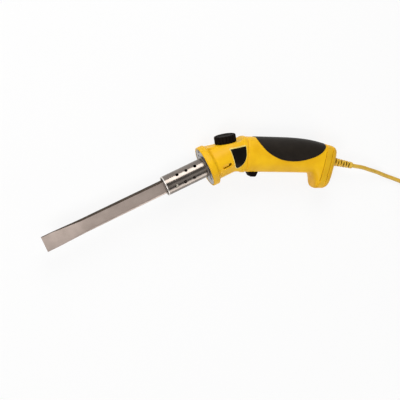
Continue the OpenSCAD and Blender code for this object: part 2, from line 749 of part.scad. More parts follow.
module terminal_screw() {
    color(steel) lay() on_head(post_s) rotate([0, -90, 0]) {
        translate([0, 0, -block_high - terminal_head_t])
            cylinder(r = terminal_head_r, h = terminal_head_t, $fn = 32);
        translate([0, 0, -block_high])
            cylinder(r = terminal_screw_r, h = block_high + block_low + terminal_screw_grip - clear,
                $fn = 24);
    }
}
// Route of one heater feed lead on the left side, from the terminal block to the board
// and its third column is a share of the room beside it
feed_room = 3.9;
feed_side = handle_w / 2 - shell_wall - feed_room;
feed_front = [[4, 1, 0.47], [12, -2, 0.73], [22, -6, 0.93], [34, -8, 1]];
feed_back = [[-30, -8, 1], [-10, -8, 1], [-2, -7, 0.87], [2, -6, 0.73]];
feed_route = concat(
    [for (p = feed_front) [p[0], p[1], feed_side * p[2]]],
    [for (p = feed_back) [board_x + p[0], p[1], feed_side * p[2]]]);
feed_start = (block_back_s + lead_in - clear) * head_way;
feed_out = (block_back_s - lead_in) * head_way;
feed_end = [board_x + board_len / 6, board_y - board_t / 2 - snug];
feed_path = concat(
    [[feed_start[0], feed_start[1], feed_span], [feed_out[0], feed_out[1], feed_span]], feed_route,
    [[feed_end[0], feed_end[1] - 2 * lead_r, ledge_w + feed_span],
     [feed_end[0], feed_end[1], ledge_w + feed_span]]);
module feed_leads() {
    color(copper) lay() for (m = [0, 1]) mirror([0, 0, m])
        tube_along(feed_path, lead_r - clear, 8, [0, 0, 1]);
}

// Dial on its potentiometer
shaft_r = 3;
pot_r = 8.2;
pot_h = 9;
shaft_in = 4;
bush_out = 3.2;
nut_r = 6.5;
nut_t = 2.2;
dial_recess_r = 8;
dial_recess_h = 4.2;
dial_cap = 2;
dial_round = 1.6;
flute_r = 1.5;
flute_depth = 0.8;
mark_w = 1.4;
mark_depth = 0.5;
shaft_top = deck_gap + dial_h - dial_cap - snug;
module dial() {
    color(black) lay() on_deck() translate([0, 0, deck_gap]) difference() {
        rotate_extrude($fn = 96) polygon(concat(
            [[0, 0], [dial_r, 0]],
            [for (a = [0 : 15 : 90])
                [dial_r + dial_round * (cos(a) - 1), dial_h + dial_round * (sin(a) - 1)]],
            [[0, dial_h]]));
        translate([0, 0, -over]) cylinder(r = dial_recess_r, h = dial_recess_h + over);
        cylinder(r = shaft_r + snug, h = dial_h - dial_cap);
        translate([0, 0, -over]) ring_of(dial_flutes, dial_r + flute_r - flute_depth)
            cylinder(r = flute_r, h = dial_h + 2 * over, $fn = 24);
        translate([-dial_r, -mark_w / 2, dial_h - mark_depth])
            cube([dial_r * 2 / 3, mark_w, mark_depth + over]);
    }
}
module dial_shaft() {
    color(steel) lay() on_deck() translate([0, 0, -deck_wall - shaft_in])
        cylinder(r = shaft_r, h = shaft_top + deck_wall + shaft_in);
}
module potentiometer() {
    color(steel) lay() on_deck() difference() {
        union() {
            translate([0, 0, -deck_wall - pot_h]) cylinder(r = pot_r, h = pot_h);
            translate([0, 0, -deck_wall]) cylinder(r = bush_r, h = deck_wall + bush_out);
        }
        translate([0, 0, -deck_wall - shaft_in - clear])
            cylinder(r = shaft_r + snug, h = pot_h + deck_wall + bush_out);
    }
}
module pot_nut() {
    color(steel) lay() on_deck() difference() {
        cylinder(r = nut_r, h = nut_t, $fn = 6);
        translate([0, 0, -over]) cylinder(r = bush_r + snug, h = nut_t + 2 * over);
    }
}

// Trigger with its plunger, spring and switch
trigger_slant = [3, 2];
trigger_corner = 1.5;
spring_r = 3.6;
spring_wire_r = 0.35;
spring_turns = 4;
spring_rings = 12;
module trigger() {
    color(black) lay() translate([trigger_x, 0, 0]) {
        low = handle_low - trigger_out;
        half = trigger_len / 2;
        linear_extrude(trigger_w, center = true) polygon([
            [-half, trigger_top], [-half, handle_low], [-half + trigger_slant[0], low + trigger_corner],
            [-half + trigger_slant[0] + trigger_corner, low], [half - trigger_slant[1] - trigger_corner, low],
            [half - trigger_slant[1], low + trigger_corner], [half, handle_low], [half, trigger_top]]);
        translate([-half - trigger_lip, trigger_base, -trigger_lip_w / 2])
            cube([trigger_len + 2 * trigger_lip, trigger_lip_t, trigger_lip_w]);
    }
}
module trigger_plunger() {
    color(ceramic) lay() translate([trigger_x, trigger_top, 0]) rotate([-90, 0, 0])
        cylinder(r = plunger_r, h = switch_gap + plunger_in);
}
spring_path = [for (k = [0 : spring_turns * spring_rings])
    let (turn = 360 * k / spring_rings, share = k / (spring_turns * spring_rings))
    [trigger_x + spring_r * cos(turn),
     trigger_top + spring_wire_r + snug + (switch_gap - 2 * (spring_wire_r + snug)) * share,
     spring_r * sin(turn)]];
module trigger_spring() {
    echo(least_spring_gap_mm = least_gap(spring_path, 2 * spring_wire_r, spring_rings / 2));
    color(steel) lay() tube_along(spring_path, spring_wire_r, 6, [0, 1, 0]);
}
module trigger_switch() {
    color(black) lay() translate([trigger_x, switch_low, 0]) difference() {
        translate([-switch_len / 2, 0, -switch_w / 2]) cube([switch_len, switch_h, switch_w]);
        translate([0, -over, 0]) rotate([-90, 0, 0])
            cylinder(r = plunger_r + clear, h = over + plunger_in + trigger_travel + clear);
    }
}

// Cooling fan on its motor
fan_in = 38;
fan_x = seam_x + fan_in;
fan_mount_t = 2.4;
fan_r = 15.5;
fan_hub_r = 6;
fan_hub_len = 7.5;
fan_gap = 1.2;
fan_blades = 7;
fan_blade_t = 1.2;
fan_blade_pitch = 40;
fan_shaft_r = 1.2;
fan_shaft_in = 5;
motor_r = 10;
motor_share = 0.174;
motor_len = handle_len * motor_share;
motor_boss_r = 3;
wire_gap = 1;
module on_fan(x = 0) {
    translate([fan_x + x, handle_mid, 0]) rotate([0, 90, 0]) children();
}
module fan_impeller() {
    color(black) lay() on_fan(-fan_gap - fan_hub_len) difference() {
        union() {
            cylinder(r = fan_hub_r, h = fan_hub_len);
            intersection() {
                cylinder(r = fan_r, h = fan_hub_len);
                for (i = [0 : fan_blades - 1]) rotate([0, 0, 360 * i / fan_blades])
                    translate([0, 0, fan_hub_len / 2]) rotate([fan_blade_pitch, 0, 0])
                        translate([fan_hub_r / 2, -fan_blade_t / 2, -fan_hub_len])
                            cube([fan_r, fan_blade_t, 2 * fan_hub_len]);
            }
        }
        translate([0, 0, -over]) cylinder(r = fan_shaft_r + snug, h = fan_hub_len + 2 * over, $fn = 24);
    }
}
module fan_shaft() {
    color(steel) lay() on_fan(-fan_gap - fan_hub_len)
        cylinder(r = fan_shaft_r, h = fan_hub_len + fan_gap + fan_mount_t + fan_shaft_in, $fn = 24);
}
module fan_motor() {
    color(steel) lay() on_fan() difference() {
        union() {
            translate([0, 0, fan_mount_t]) cylinder(r = motor_r, h = motor_len);
            cylinder(r = motor_boss_r, h = fan_mount_t);
        }
        translate([0, 0, -over])
            cylinder(r = fan_shaft_r + snug, h = over + fan_mount_t + fan_shaft_in + clear, $fn = 24);
    }
}
module fan_mount() {
    color(black) lay() difference() {
        on_fan() cylinder(r = handle_w / 2 * handle_value(fan_in / handle_len, 3) - shell_wall - clear,
            h = fan_mount_t, $fn = 96);
        on_fan(-over) cylinder(r = motor_boss_r + snug, h = fan_mount_t + 2 * over);
        for (m = [-1, 1]) translate([fan_x - over, feed_route[4][1], m * feed_route[4][2]]) rotate([0, 90, 0])
            cylinder(r = lead_r + wire_gap, h = fan_mount_t + 2 * over, $fn = 24);
    }
}

// Control board and what stands on it
sink_share = 0.265;
sink_len = board_len * sink_share;
sink_h = 15;
sink_w = 20;
sink_fins = 4;
sink_base = 2;
sink_start_share = 0.6;
triac_share = 0.129;
triac_len = board_len * triac_share;
triac_h = 14;
triac_w = 10;
cap_share = 0.294;
cap_len = board_len * cap_share;
cap_h = 12;
cap_w = 9;
choke_r = 3.6;
choke_wire_r = 1.6;
choke_out_r = choke_r + choke_wire_r;
part_gap = 1.5;
plug_block_share = 0.176;
plug_block_len = board_len * plug_block_share;
plug_block_h = 6;
plug_block_w = 12;
board_top = board_y + board_t / 2;
sink_x = board_x + part_gap;
triac_x = sink_x + sink_len;
cap_x = triac_x + triac_len + part_gap;
plug_block_x = board_x + board_len - plug_block_len;
module control_board() {
    color(board_green) lay() translate([board_x, board_y - board_t / 2, -board_w / 2])
        cube([board_len, board_t, board_w]);
}
module heat_sink() {
    color(steel) lay() translate([sink_x, board_top, -sink_w / 2]) difference() {
        cube([sink_len, sink_h, sink_w]);
        for (i = [0 : sink_fins - 1])
            translate([-over, -over, sink_w * (2 * i + sink_start_share) / (2 * sink_fins)])
                cube([sink_len - sink_base + over, sink_h + 2 * over, sink_w / (2 * sink_fins)]);
    }
}
module triac() {
    color(black) lay() translate([triac_x, board_top, -triac_w / 2]) cube([triac_len, triac_h, triac_w]);
}
module capacitor() {
    color(copper) lay() translate([cap_x, board_top, -cap_w - part_gap]) cube([cap_len, cap_h, cap_w]);
}
module choke() {
    color(copper) lay()
        translate([cap_x + choke_out_r, board_top + choke_wire_r, part_gap + choke_out_r])
        rotate([90, 0, 0]) rotate_extrude() translate([choke_r, 0]) circle(r = choke_wire_r, $fn = 24);
}
module mains_connector() {
    color(ceramic) lay() difference() {
        translate([plug_block_x, board_top, -plug_block_w / 2])
            cube([plug_block_len, plug_block_h, plug_block_w]);
        for (m = [-1, 1])
            translate([plug_block_x + plug_block_len / 2, board_top + plug_block_h / 2, m * lead_span])
                rotate([0, 90, 0]) cylinder(r = lead_r + snug, h = plug_block_len, $fn = 24);
    }
}
inner_share = 0.21;
inner_depth = handle_len * inner_share;
lead_apart_share = 1.5;
inner_end = [relief_x, relief_y, 0] - (inner_depth + snug) * relief_way;
module mains_leads() {
    color(copper) lay() for (m = [-1, 1]) tube_along([
        inner_end + [0, 0, m * lead_apart_share * lead_r],
        inner_end - lead_r * relief_way + [0, 0, m * lead_apart_share * lead_r],
        [plug_block_x + plug_block_len + lead_r, board_top + plug_block_h / 2, m * lead_span],
        [plug_block_x + plug_block_len / 2 + clear, board_top + plug_block_h / 2, m * lead_span]],
        lead_r - snug, 8, [0, 1, 0]);
}

// Cord at the tail: clamp, inner end and strain relief
relief_flange_r = 8;
relief_flange_t = 2.4;
relief_tip_r = 4.7;
relief_rings = 6;
relief_groove = 1.2;
relief_plain = 3;
module cord_clamp() {
    color(black) lay() difference() {
        on_relief(-clamp_depth) translate([-cord_d / 2 - snug - clamp_t, -clamp_span / 2, -clamp_w / 2])
            cube([clamp_t, clamp_span, clamp_w]);
        clamp_screw_places() translate([0, 0, -cord_d - clamp_t])
            cylinder(r = clamp_screw_r + snug, h = 2 * cord_d, $fn = 24);
    }
}
module cord_clamp_screws() {
    color(steel) lay() clamp_screw_places() translate([0, 0, -cord_d / 2 - snug - clamp_t]) {
        translate([0, 0, -clamp_screw_head_t])
            cylinder(r = clamp_screw_head_r, h = clamp_screw_head_t, $fn = 32);
        cylinder(r = clamp_screw_r, h = cord_d + clamp_t + clamp_screw_grip - clear, $fn = 24);
    }
}
module cord_inner() {
    color(cord_yellow) lay() on_relief(-inner_depth) cylinder(d = cord_d, h = inner_depth + relief_len);
}
function relief_r(d) = relief_root_r + (relief_tip_r - relief_root_r) * d / relief_len;
relief_step = (relief_len - 2 * relief_plain) / (2 * relief_rings);
module strain_relief() {
    back = -rear_wall - clear;
    color(yellow) lay() on_relief() rotate_extrude() polygon(concat(
        [[cord_d / 2 + snug, back - relief_flange_t], [relief_flange_r, back - relief_flange_t],
         [relief_flange_r, back], [relief_root_r, back], [relief_root_r, relief_plain]],
        [for (i = [0 : relief_rings - 1])
            each let (a = relief_plain + relief_step * 2 * i, b = a + relief_step) [
                [relief_r(a), a], [relief_r(a) - relief_groove, a],
                [relief_r(b) - relief_groove, b], [relief_r(b), b]]],
        [[relief_tip_r, relief_len], [cord_d / 2 + snug, relief_len]]));
}

// Free cord on the surface, in the laid frame: lead, coil, tail, tie and plug
cord_sides = 10;
pitch_share = 1.22;
coil_pitch = cord_d * pitch_share;
coil_in_r = 26;
layer_turns = 2;
climb_turns = 0.5;
coil_turns = 9.25;
coil_rings = 24;
tie_t = 1.2;
tie_w = 12;
tie_gap = 0.9;
tie_turn = 205;
coil_centre = [388, -33];
coil_out_r = coil_in_r + layer_turns * coil_pitch;
coil_low = tie_t + clear + cord_d / 2;
function coil_point(turn) =
    let (layer = floor(turn / (layer_turns + climb_turns)), f = turn - layer * (layer_turns + climb_turns),
         inward = layer % 2 == 0, wound = min(f, layer_turns), climb = max(f - layer_turns, 0) / climb_turns,
         r = inward ? coil_out_r - coil_pitch * wound : coil_in_r + coil_pitch * wound)
    [coil_centre[0] + r * sin(360 * turn), coil_centre[1] + r * cos(360 * turn),
     coil_low + coil_pitch * (layer + climb)];
coil_turned = [for (k = [0 : coil_turns * coil_rings]) coil_point(k / coil_rings)];
coil_path = concat([coil_turned[0] - [cord_d, 0, 0]], coil_turned,
    [coil_turned[len(coil_turned) - 1] - [0, cord_d, 0]]);
coil_end = coil_path[len(coil_path) - 1];
relief_tip = laid([relief_x, relief_y, 0] + (relief_len + snug) * relief_way);
lead_route = [
    [258, 39, 17], [272, 35, 12.5], [286, 31, 7.5], [300, 26, 4.2], [316, 21, 3.1], [334, 15, 3],
    [352, 10, 3.2], [368, 8, 3.9]];
lead_path = concat([relief_tip, relief_tip + cord_d * laid_way(relief_way)], lead_route,
    [coil_path[0] - [cord_d, 0, 0], coil_path[0] - [snug, 0, 0]]);
tail_route = [[427, -51, 24], [427, -62, 18.5], [427, -73, 14]];
plug_start = [427, -90, 12];
plug_len = 38;
plug_w = 28;
plug_back_w = 14;
plug_h = 24;
plug_back_share = 0.45;
pin_len = 17;
pin_w = 6.3;
pin_t = 1.5;
pin_span = 12.7;
earth_r = 2.4;
earth_drop = 8;
tail_path = concat([coil_end - [0, snug, 0], coil_end - [0, cord_d, 0]], tail_route,
    [plug_start + [0, cord_d, 0], plug_start + [0, snug, 0]]);
module cord_lead() {
    color(cord_yellow) tube_along(lead_path, cord_d / 2, cord_sides, [0, 0, 1]);
}
module cord_coil() {
    echo(least_coil_gap_mm = least_gap(coil_path, cord_d, coil_rings / 2));
    color(cord_yellow) tube_along(coil_path, cord_d / 2, 6, [0, 0, 1]);
}
module cord_tail() {
    color(cord_yellow) tube_along(tail_path, cord_d / 2, cord_sides, [0, 0, 1]);
}
module cord_tie() {
    inner = coil_in_r - cord_d / 2 - tie_gap;
    outer = coil_out_r + cord_d / 2 + tie_gap;
    top = coil_low + 3 * coil_pitch + cord_d / 2 + clear;
    color(black) translate([coil_centre[0], coil_centre[1], 0]) rotate([0, 0, tie_turn]) rotate([90, 0, 0])
        linear_extrude(tie_w, center = true) difference() {
            translate([inner - tie_t, 0]) square([outer - inner + 2 * tie_t, top + tie_t]);
            translate([inner, tie_t]) square([outer - inner, top - tie_t]);
        }
}
module plug_body() {
    shoulder = plug_len * plug_back_share;
    color(cord_yellow) translate(plug_start) intersection() {
        linear_extrude(2 * plug_h, center = true) polygon([
            [-plug_back_w / 2, 0], [plug_back_w / 2, 0], [plug_w / 2, -shoulder], [plug_w / 2, -plug_len],
            [-plug_w / 2, -plug_len], [-plug_w / 2, -shoulder]]);
        rotate([0, -90, 0]) linear_extrude(2 * plug_w, center = true) polygon([
            [-plug_back_w / 2, 0], [plug_back_w / 2, 0], [plug_h / 2, -shoulder], [plug_h / 2, -plug_len],
            [-plug_h / 2, -plug_len], [-plug_h / 2, -shoulder]]);
    }
}
module plug_pins() {
    color(steel) translate(plug_start - [0, plug_len, 0]) {
        for (m = [-1, 1]) translate([m * pin_span / 2 - pin_t / 2, -pin_len, earth_drop / 2 - pin_w / 2])
            cube([pin_t, pin_len, pin_w]);
        translate([0, 0, -earth_drop / 2]) rotate([90, 0, 0]) cylinder(r = earth_r, h = pin_len + pin_t);
    }
}

front_housing();
handle_shell_left();
handle_shell_right();
grip_left();
grip_right();
housing_screws();
badge_left();
badge_right();
vent_plate();
vent_plate_screws();
heat_sleeve();
mouth_spacer();
blade();
heater_core();
heater_winding();
heater_seal();
heater_leads();
ceramic_disc();
blade_collar();
collar_screws();
terminal_block();
terminal_screw();
feed_leads();
dial();
dial_shaft();
potentiometer();
pot_nut();
trigger();
trigger_plunger();
trigger_spring();
trigger_switch();
fan_impeller();
fan_shaft();
fan_motor();
fan_mount();
control_board();
triac();
heat_sink();
capacitor();
choke();
mains_connector();
mains_leads();
cord_clamp();
cord_clamp_screws();
cord_inner();
strain_relief();
cord_lead();
cord_coil();
cord_tail();
cord_tie();
plug_body();
plug_pins();
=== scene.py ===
import math

import bmesh
import bpy
from mathutils import Matrix, Vector


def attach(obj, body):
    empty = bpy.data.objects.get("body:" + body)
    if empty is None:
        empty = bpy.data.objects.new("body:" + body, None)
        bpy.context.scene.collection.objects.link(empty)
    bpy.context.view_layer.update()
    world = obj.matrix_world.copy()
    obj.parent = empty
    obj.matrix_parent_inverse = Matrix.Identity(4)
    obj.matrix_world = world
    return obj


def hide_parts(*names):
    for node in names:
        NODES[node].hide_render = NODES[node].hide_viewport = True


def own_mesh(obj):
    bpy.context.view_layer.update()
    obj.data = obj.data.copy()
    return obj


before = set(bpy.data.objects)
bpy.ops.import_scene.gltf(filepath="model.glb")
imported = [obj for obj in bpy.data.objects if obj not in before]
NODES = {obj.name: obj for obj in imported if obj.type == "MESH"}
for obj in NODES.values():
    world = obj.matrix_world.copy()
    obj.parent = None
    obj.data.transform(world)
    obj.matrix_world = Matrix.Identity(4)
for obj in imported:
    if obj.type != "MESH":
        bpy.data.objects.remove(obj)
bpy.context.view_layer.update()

MM = 0.001

# Sizes in millimetres, in the tool's own frame: x to the tail, y to the dial side, z to the left side
BEND = math.radians(26.5)
HANDLE_LEN = 138.0
HANDLE_H = 49.7
HANDLE_W = 43.0
HANDLE_RISE = 26.0
HANDLE_LOW = HANDLE_RISE - HANDLE_H
HANDLE_ROUND = 2.6
TAIL_DROP = 15.5
FOOT_DROP = 22.3
TAIL_LEAN = 0.2
SEAM_X = 20.0
TAIL_X = SEAM_X + HANDLE_LEN
SHELL_WALL = 2.6
NECK_R = 24.3
FLANGE_R = 29.5
FLANGE_S = 41.5
COLLAR_LEN = 7.0
COLLAR_PROUD = 0.9
DECK_POINT = Vector((-8.0, 16.7, 0.0))
DECK_TILT = math.radians(13.4)
DECK_WAY = Vector((math.cos(DECK_TILT), math.sin(DECK_TILT), 0))
SLEEVE_MOUTH_S = 105.0
TUBE_D = 15.5
TUBE_WALL = 0.8
TUBE_FREE = 0.05
TIP_S = 290.0
TIP_T = 1.7
TIP_FLAT = 14.0
PRESS_LEN = 46.0
PRESS_START_S = 78.0
PRESS_END_S = TIP_S - TIP_FLAT - PRESS_LEN
MOUTH_T = 7.0
BODY_T = 6.0
RELIEF_LEN = 32.0
RELIEF_ROOT_R = 6.3
RELIEF_TIP_R = 4.7
TRIGGER_X = 32.8
TRIGGER_LEN = 15.4
TRIGGER_W = 14.0
TRIGGER_OUT = 6.8
TRIGGER_TOP = 6.0
TRIGGER_PLAY = 0.4
SLEEVE_R = 14.2
SLEEVE_WALL = 0.9
DIAL_R = 15.6
DIAL_TOP = 11.0
DIAL_GAP = 0.6
CORD_D = 6.0
CORD_BORE_R = 3.1
COIL_X = 388.0
COIL_Y = -33.0
PLUG_AT = Vector((427, -90, 12))
SIDES = ("left", "right")

# Half the floor's side, the height of the pale backdrop at its edges and how far the floor lies under the
# tool, in metres, and how much of the floor is seen as white
FLOOR_REACH = 20.0
BACKDROP_RISE = 6.0
FLOOR_BELOW = 0.0002
FLOOR_WHITE_SHARE = 0.85

# Handle sections: share of the length, then shares of the tail's fall, the foot's drop, the width and
# the lean, and the power of the rounding
HANDLE_ROWS = (
    (0, 0, 0, 1, 0, HANDLE_ROUND), (0.1, 0, 0, 1, 0, HANDLE_ROUND), (0.29, 0, 0, 0.985, 0, 2.5),
    (0.47, 0.01, 0, 0.98, 0, 2.5), (0.58, 0.06, 0, 0.985, 0.25, 2.6), (0.66, 0.13, 0, 0.99, 0.5, 2.7),
    (0.72, 0.225, 0, 1, 0.8, 2.9), (0.754, 0.287, 0.03, 1, 1, 3), (0.781, 0.337, 0.17, 1, 1, 3.1),
    (0.801, 0.377, 0.35, 1, 1, 3.2), (0.822, 0.422, 0.66, 1, 1, 3.3), (0.838, 0.455, 0.93, 1, 1, 3.4),
    (0.855, 0.49, 1, 1, 1, 3.4),
    (0.942, 0.645, 1, 0.72, 1, 3.4), (0.978, 0.8, 0.94, 0.6, 1, 3.2), (1, 1, 0.8, 0.48, 1, 3))

# Share of the handle's length up to which the line of the foot is smooth
FOOT_SMOOTH_TO = 0.978

# Lines round the tail: shares of the handle's length, half the width at the top and at the
# bottom of a line as such shares, the room kept free of other sections, and the depth
TAIL_LINES = (0.855, 0.942)
LINE_HALF = 0.006
LINE_FLOOR_HALF = 0.0035
LINE_ROOM = 0.007
LINE_DEPTH = 0.9

# The handle's front edge: share of the length and rise above the plain section, then where plain ones begin
SEAM_EDGE = ((0, -1.1), (0.004, -0.9), (0.0085, -0.3))
SEAM_EDGE_END = 0.012

# Where the neck's sections stand, as millimetres from the bend
NECK_STATIONS = (33.6, 26, 18)

# Collar and its groove: millimetres before the seam, and how far it stands above the head
COLLAR_STATIONS = ((COLLAR_LEN, 0), (5.8, COLLAR_PROUD), (1.3, COLLAR_PROUD), (0.7, COLLAR_PROUD - 0.5),
                   (0.6, -1.2), (0, -1.2))

# Cuts of the vent in the cheek: depth, lean in degrees, height, length, place along the neck and drop, then
# the way that the vent faces, down and to the side
VENT_CUTS = ((1.6, 20, 6.2, 14.0, 15.4, 0), (8.0, 0, 3.6, 3.6, 10.6, 0), (8.0, 0, 1.5, 11.0, 15.8, 2.2))
VENT_WAY = (-7.4, 23.2)

# Outline of the badge on the cheek, as shares of the neck's radius: a corner, then a curve
BADGE_CORNER = (-0.37, 0.455)
BADGE_CURVE = ((0.64, 0.68), (0.69, 0.36), (0.7, 0.02), (0.6, -0.33), (0.43, -0.57), (0.2, -0.72),
               (0.07, -0.64))

# Layers of the badge: name, share of the outline, and heights of its underside and its face above the head
BADGE_LAYERS = (("edging", 1.0, -1.6, 0.3), ("plate", 0.92, 0.1, 0.45))

# Route of the cord on the surface, in millimetres: from the boot to the coil, and from the coil to the plug
LEAD_ROUTE = ((258, 39, 17), (272, 35, 12.5), (286, 31, 7.5), (300, 26, 4.2), (316, 21, 3.1), (334, 15, 3),
              (352, 10, 3.2), (368, 8, 3.9))
TAIL_ROUTE = ((427, -51, 24), (427, -62, 18.5), (427, -73, 14), (427, -84, 12), PLUG_AT)

# Plug: distance from the cord, width and height
PLUG_SECTIONS = ((0, 14, 14), (3, 15, 15), (10, 21.8, 18.5), (17, 28, 23.8), (36.5, 28, 24), (38, 27, 23))

# The tool lies tilted on its flange and its tail
LAY = (Matrix.Translation(Vector((52.2609, 54.421, 28.0685)) * MM)
       @ Matrix.Rotation(math.radians(2.79494), 4, "Y") @ Matrix.Scale(MM, 4))
HEAD = (Matrix.Rotation(BEND, 4, "Z") @ Matrix.Rotation(math.radians(-90), 4, "Y")
        @ Matrix.Rotation(math.radians(90), 4, "Z"))
DECK = (Matrix.Translation(DECK_POINT) @ Matrix.Rotation(DECK_TILT, 4, "Z")
        @ Matrix.Rotation(math.radians(-90), 4, "X"))
RELIEF_Y = -7.0
RELIEF = (Matrix.Translation((TAIL_X + TAIL_LEAN * RELIEF_Y, RELIEF_Y, 0))
          @ Matrix.Rotation(math.radians(-10), 4, "Z") @ Matrix.Rotation(math.radians(90), 4, "Y"))


# Shaping helpers

def signed_power(value, power):
    return math.copysign(abs(value) ** power, value)


def foot_slope(i):
    """Slope of a smooth line through the foot's drops at one row, flat at the highest and lowest rows."""
    if i in (0, len(HANDLE_ROWS) - 1):
        return 0.0
    before, here, after = HANDLE_ROWS[i - 1:i + 2]
    a = (here[2] - before[2]) / (here[0] - before[0])
    b = (after[2] - here[2]) / (after[0] - here[0])
    return 2 * a * b / (a + b) if a * b > 0 else 0.0


def handle_row(share):
    """Row of the handle table at a share of the length: smooth for the foot's drop, else straight."""
    share = min(max(share, 0.0), 1.0)
    i = max(k for k, row in enumerate(HANDLE_ROWS[:-1]) if row[0] <= share)
    a, b = HANDLE_ROWS[i], HANDLE_ROWS[i + 1]
    run = b[0] - a[0]
    f = (share - a[0]) / run
    row = [a[k] + (b[k] - a[k]) * f for k in range(6)]
    if b[0] <= FOOT_SMOOTH_TO:
        row[2] = (a[2] * (1 + 2 * f) * (1 - f) ** 2 + b[2] * f * f * (3 - 2 * f)
                  + run * (foot_slope(i) * f * (1 - f) ** 2 - foot_slope(i + 1) * f * f * (1 - f)))
    return row


def handle_section(share, grow):
    """One section of the handle, raised by grow: place, way up, low and high end, half width, rounding."""
    row = handle_row(share)
    return (SEAM_X + HANDLE_LEN * share, 0.0, TAIL_LEAN * row[4], 1.0,
            HANDLE_LOW - FOOT_DROP * row[2] - grow, HANDLE_RISE - TAIL_DROP * row[1] + grow,
            HANDLE_W / 2 * row[3] + grow, row[5])


def section_point(section, turn):
    """Point on the rounded outline of a section, at an angle from its left side."""
    x, y, ux, uy, low, high, half, power = section
    v = (low + high) / 2 + (high - low) / 2 * signed_power(math.sin(turn), 2 / power)
    return Vector((x + ux * v, y + uy * v, half * signed_power(math.cos(turn), 2 / power)))


def ring(bm, points):
    """A closed loop of edges through the points."""
    made = bmesh.ops.create_circle(bm, segments=len(points), radius=1)["verts"]
    for vert, place in zip(made, points):
        vert.co = place
    return list(dict.fromkeys(edge for vert in made for edge in vert.link_edges))


def loft(bm, loops):
    """Closed skin through loops of equally many points. Gives back the faces of each span."""
    rings = [ring(bm, loop) for loop in loops]
    spans = [bmesh.ops.bridge_loops(bm, edges=a + b)["faces"] for a, b in zip(rings, rings[1:])]
    for edges in (rings[0], rings[-1]):
        bmesh.ops.contextual_create(bm, geom=edges)
    bmesh.ops.recalc_face_normals(bm, faces=bm.faces)
    return spans


def spun(bm, profile, steps):
    """A solid turned about z from a closed outline of radius and height."""
    edges = ring(bm, [Vector((r, 0, z)) for r, z in profile])
    verts = list(dict.fromkeys(v for e in edges for v in e.verts))
    bmesh.ops.spin(bm, geom=verts + edges, cent=(0, 0, 0), axis=(0, 0, 1), angle=math.tau,
                   steps=steps, use_merge=True)
    bmesh.ops.remove_doubles(bm, verts=bm.verts, dist=0.0005)
    bmesh.ops.recalc_face_normals(bm, faces=bm.faces)


def piece(bm, name, material, body="tool", place=None, sharp=35, replaces=()):
    """Sets a finished bmesh on the surface and makes it a piece of the object."""
    bmesh.ops.transform(bm, matrix=LAY @ place if place else LAY, verts=bm.verts)
    mesh = bpy.data.meshes.new(name)
    bm.to_mesh(mesh)
    bm.free()
    obj = bpy.data.objects.new(name, mesh)
    bpy.context.scene.collection.objects.link(obj)
    finish_shading(obj, sharp)
    obj.data.materials.append(material)
    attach(obj, body)
    for node in replaces:
        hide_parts(node)
    return obj


def finish_shading(obj, sharp):
    obj.data.polygons.foreach_set("use_smooth", [True] * len(obj.data.polygons))
    obj.data.set_sharp_from_angle(angle=math.radians(sharp))


def settled(obj):
    """Applies the object's modifiers to its mesh."""
    graph = bpy.context.evaluated_depsgraph_get()
    mesh = bpy.data.meshes.new_from_object(obj.evaluated_get(graph))
    old = obj.data
    obj.modifiers.clear()
    obj.data = mesh
    bpy.data.meshes.remove(old)


def cut_by(obj, bm, place=None, keep=False):
    """Cuts the shape of a bmesh, in the tool's frame, out of a piece, or keeps only what lies in it."""
    bmesh.ops.recalc_face_normals(bm, faces=bm.faces)
    bmesh.ops.transform(bm, matrix=LAY @ place if place else LAY, verts=bm.verts)
    mesh = bpy.data.meshes.new("cut")
    bm.to_mesh(mesh)
    bm.free()
    tool = bpy.data.objects.new("cut", mesh)
    bpy.context.scene.collection.objects.link(tool)
    cut = obj.modifiers.new("cut", "BOOLEAN")
    cut.operation = "INTERSECT" if keep else "DIFFERENCE"
    cut.solver = "EXACT"
    cut.object = tool
    settled(obj)
    bpy.data.objects.remove(tool)
    bpy.data.meshes.remove(mesh)


def soft_edges(obj, width, segments, angle):
    """Rounds the edges that are sharper than an angle in degrees, by a width in millimetres."""
    edge = obj.modifiers.new("soft_edges", "BEVEL")
    edge.width = width * MM
    edge.segments = segments
    edge.limit_method = "ANGLE"
    edge.angle_limit = math.radians(angle)


def box_at(bm, centre, size, turn=Matrix.Identity(4)):
    bmesh.ops.create_cube(bm, size=1, matrix=turn @ Matrix.Translation(centre) @ Matrix.Diagonal((*size, 1)))


def arc(count, step):
    """Angles from 0, so many degrees apart."""
    return [math.radians(step * k) for k in range(count)]


def full_turn(count):
    """So many angles, evenly round a circle."""
    return [math.tau * k / count for k in range(count)]


def spaced(start, end, count):
    """So many even steps from a start, which is left out, to an end."""
    return [start + (end - start) * k / count for k in range(1, count + 1)]


def slab(bm, outline, half):
    """A flat outline in x and y, made thick by the half on each side."""
    loft(bm, [[p + Vector((0, 0, z)) for p in outline] for z in (-half, half)])


def mirrored(bm):
    """Turns a left-hand shape into the right-hand one."""
    bmesh.ops.scale(bm, vec=(1, 1, -1), verts=bm.verts)
    bmesh.ops.recalc_face_normals(bm, faces=bm.faces)


def eased(v):
    """Soft rise from 0 to 1."""
    v = min(max(v, 0.0), 1.0)
    return v * v * (3 - 2 * v)


# Finishes: scales, shares and depths of the patterns in them, and the way that the blade's streaks run
PATCH_SCALE = 55.0
GLOSS_SCALE = 240.0
GRAIN_DEPTH = 0.0002
BLOTCH_SCALE = 60.0
BLOTCH_SHARE = 0.42
STREAK_SHARE = 0.6
STREAK_RELIEF = 0.05
STREAK_DEPTH = 0.0001
ALONG_BLADE = (0, 0, BEND)


def finish_named(name):
    """A new material with its node tree, its shader and its coordinates."""
    material = bpy.data.materials.new(name)
    material.use_nodes = True
    tree = material.node_tree
    shader = tree.nodes["Principled BSDF"]
    coords = tree.nodes.new("ShaderNodeTexCoord")
    return material, tree, shader, coords


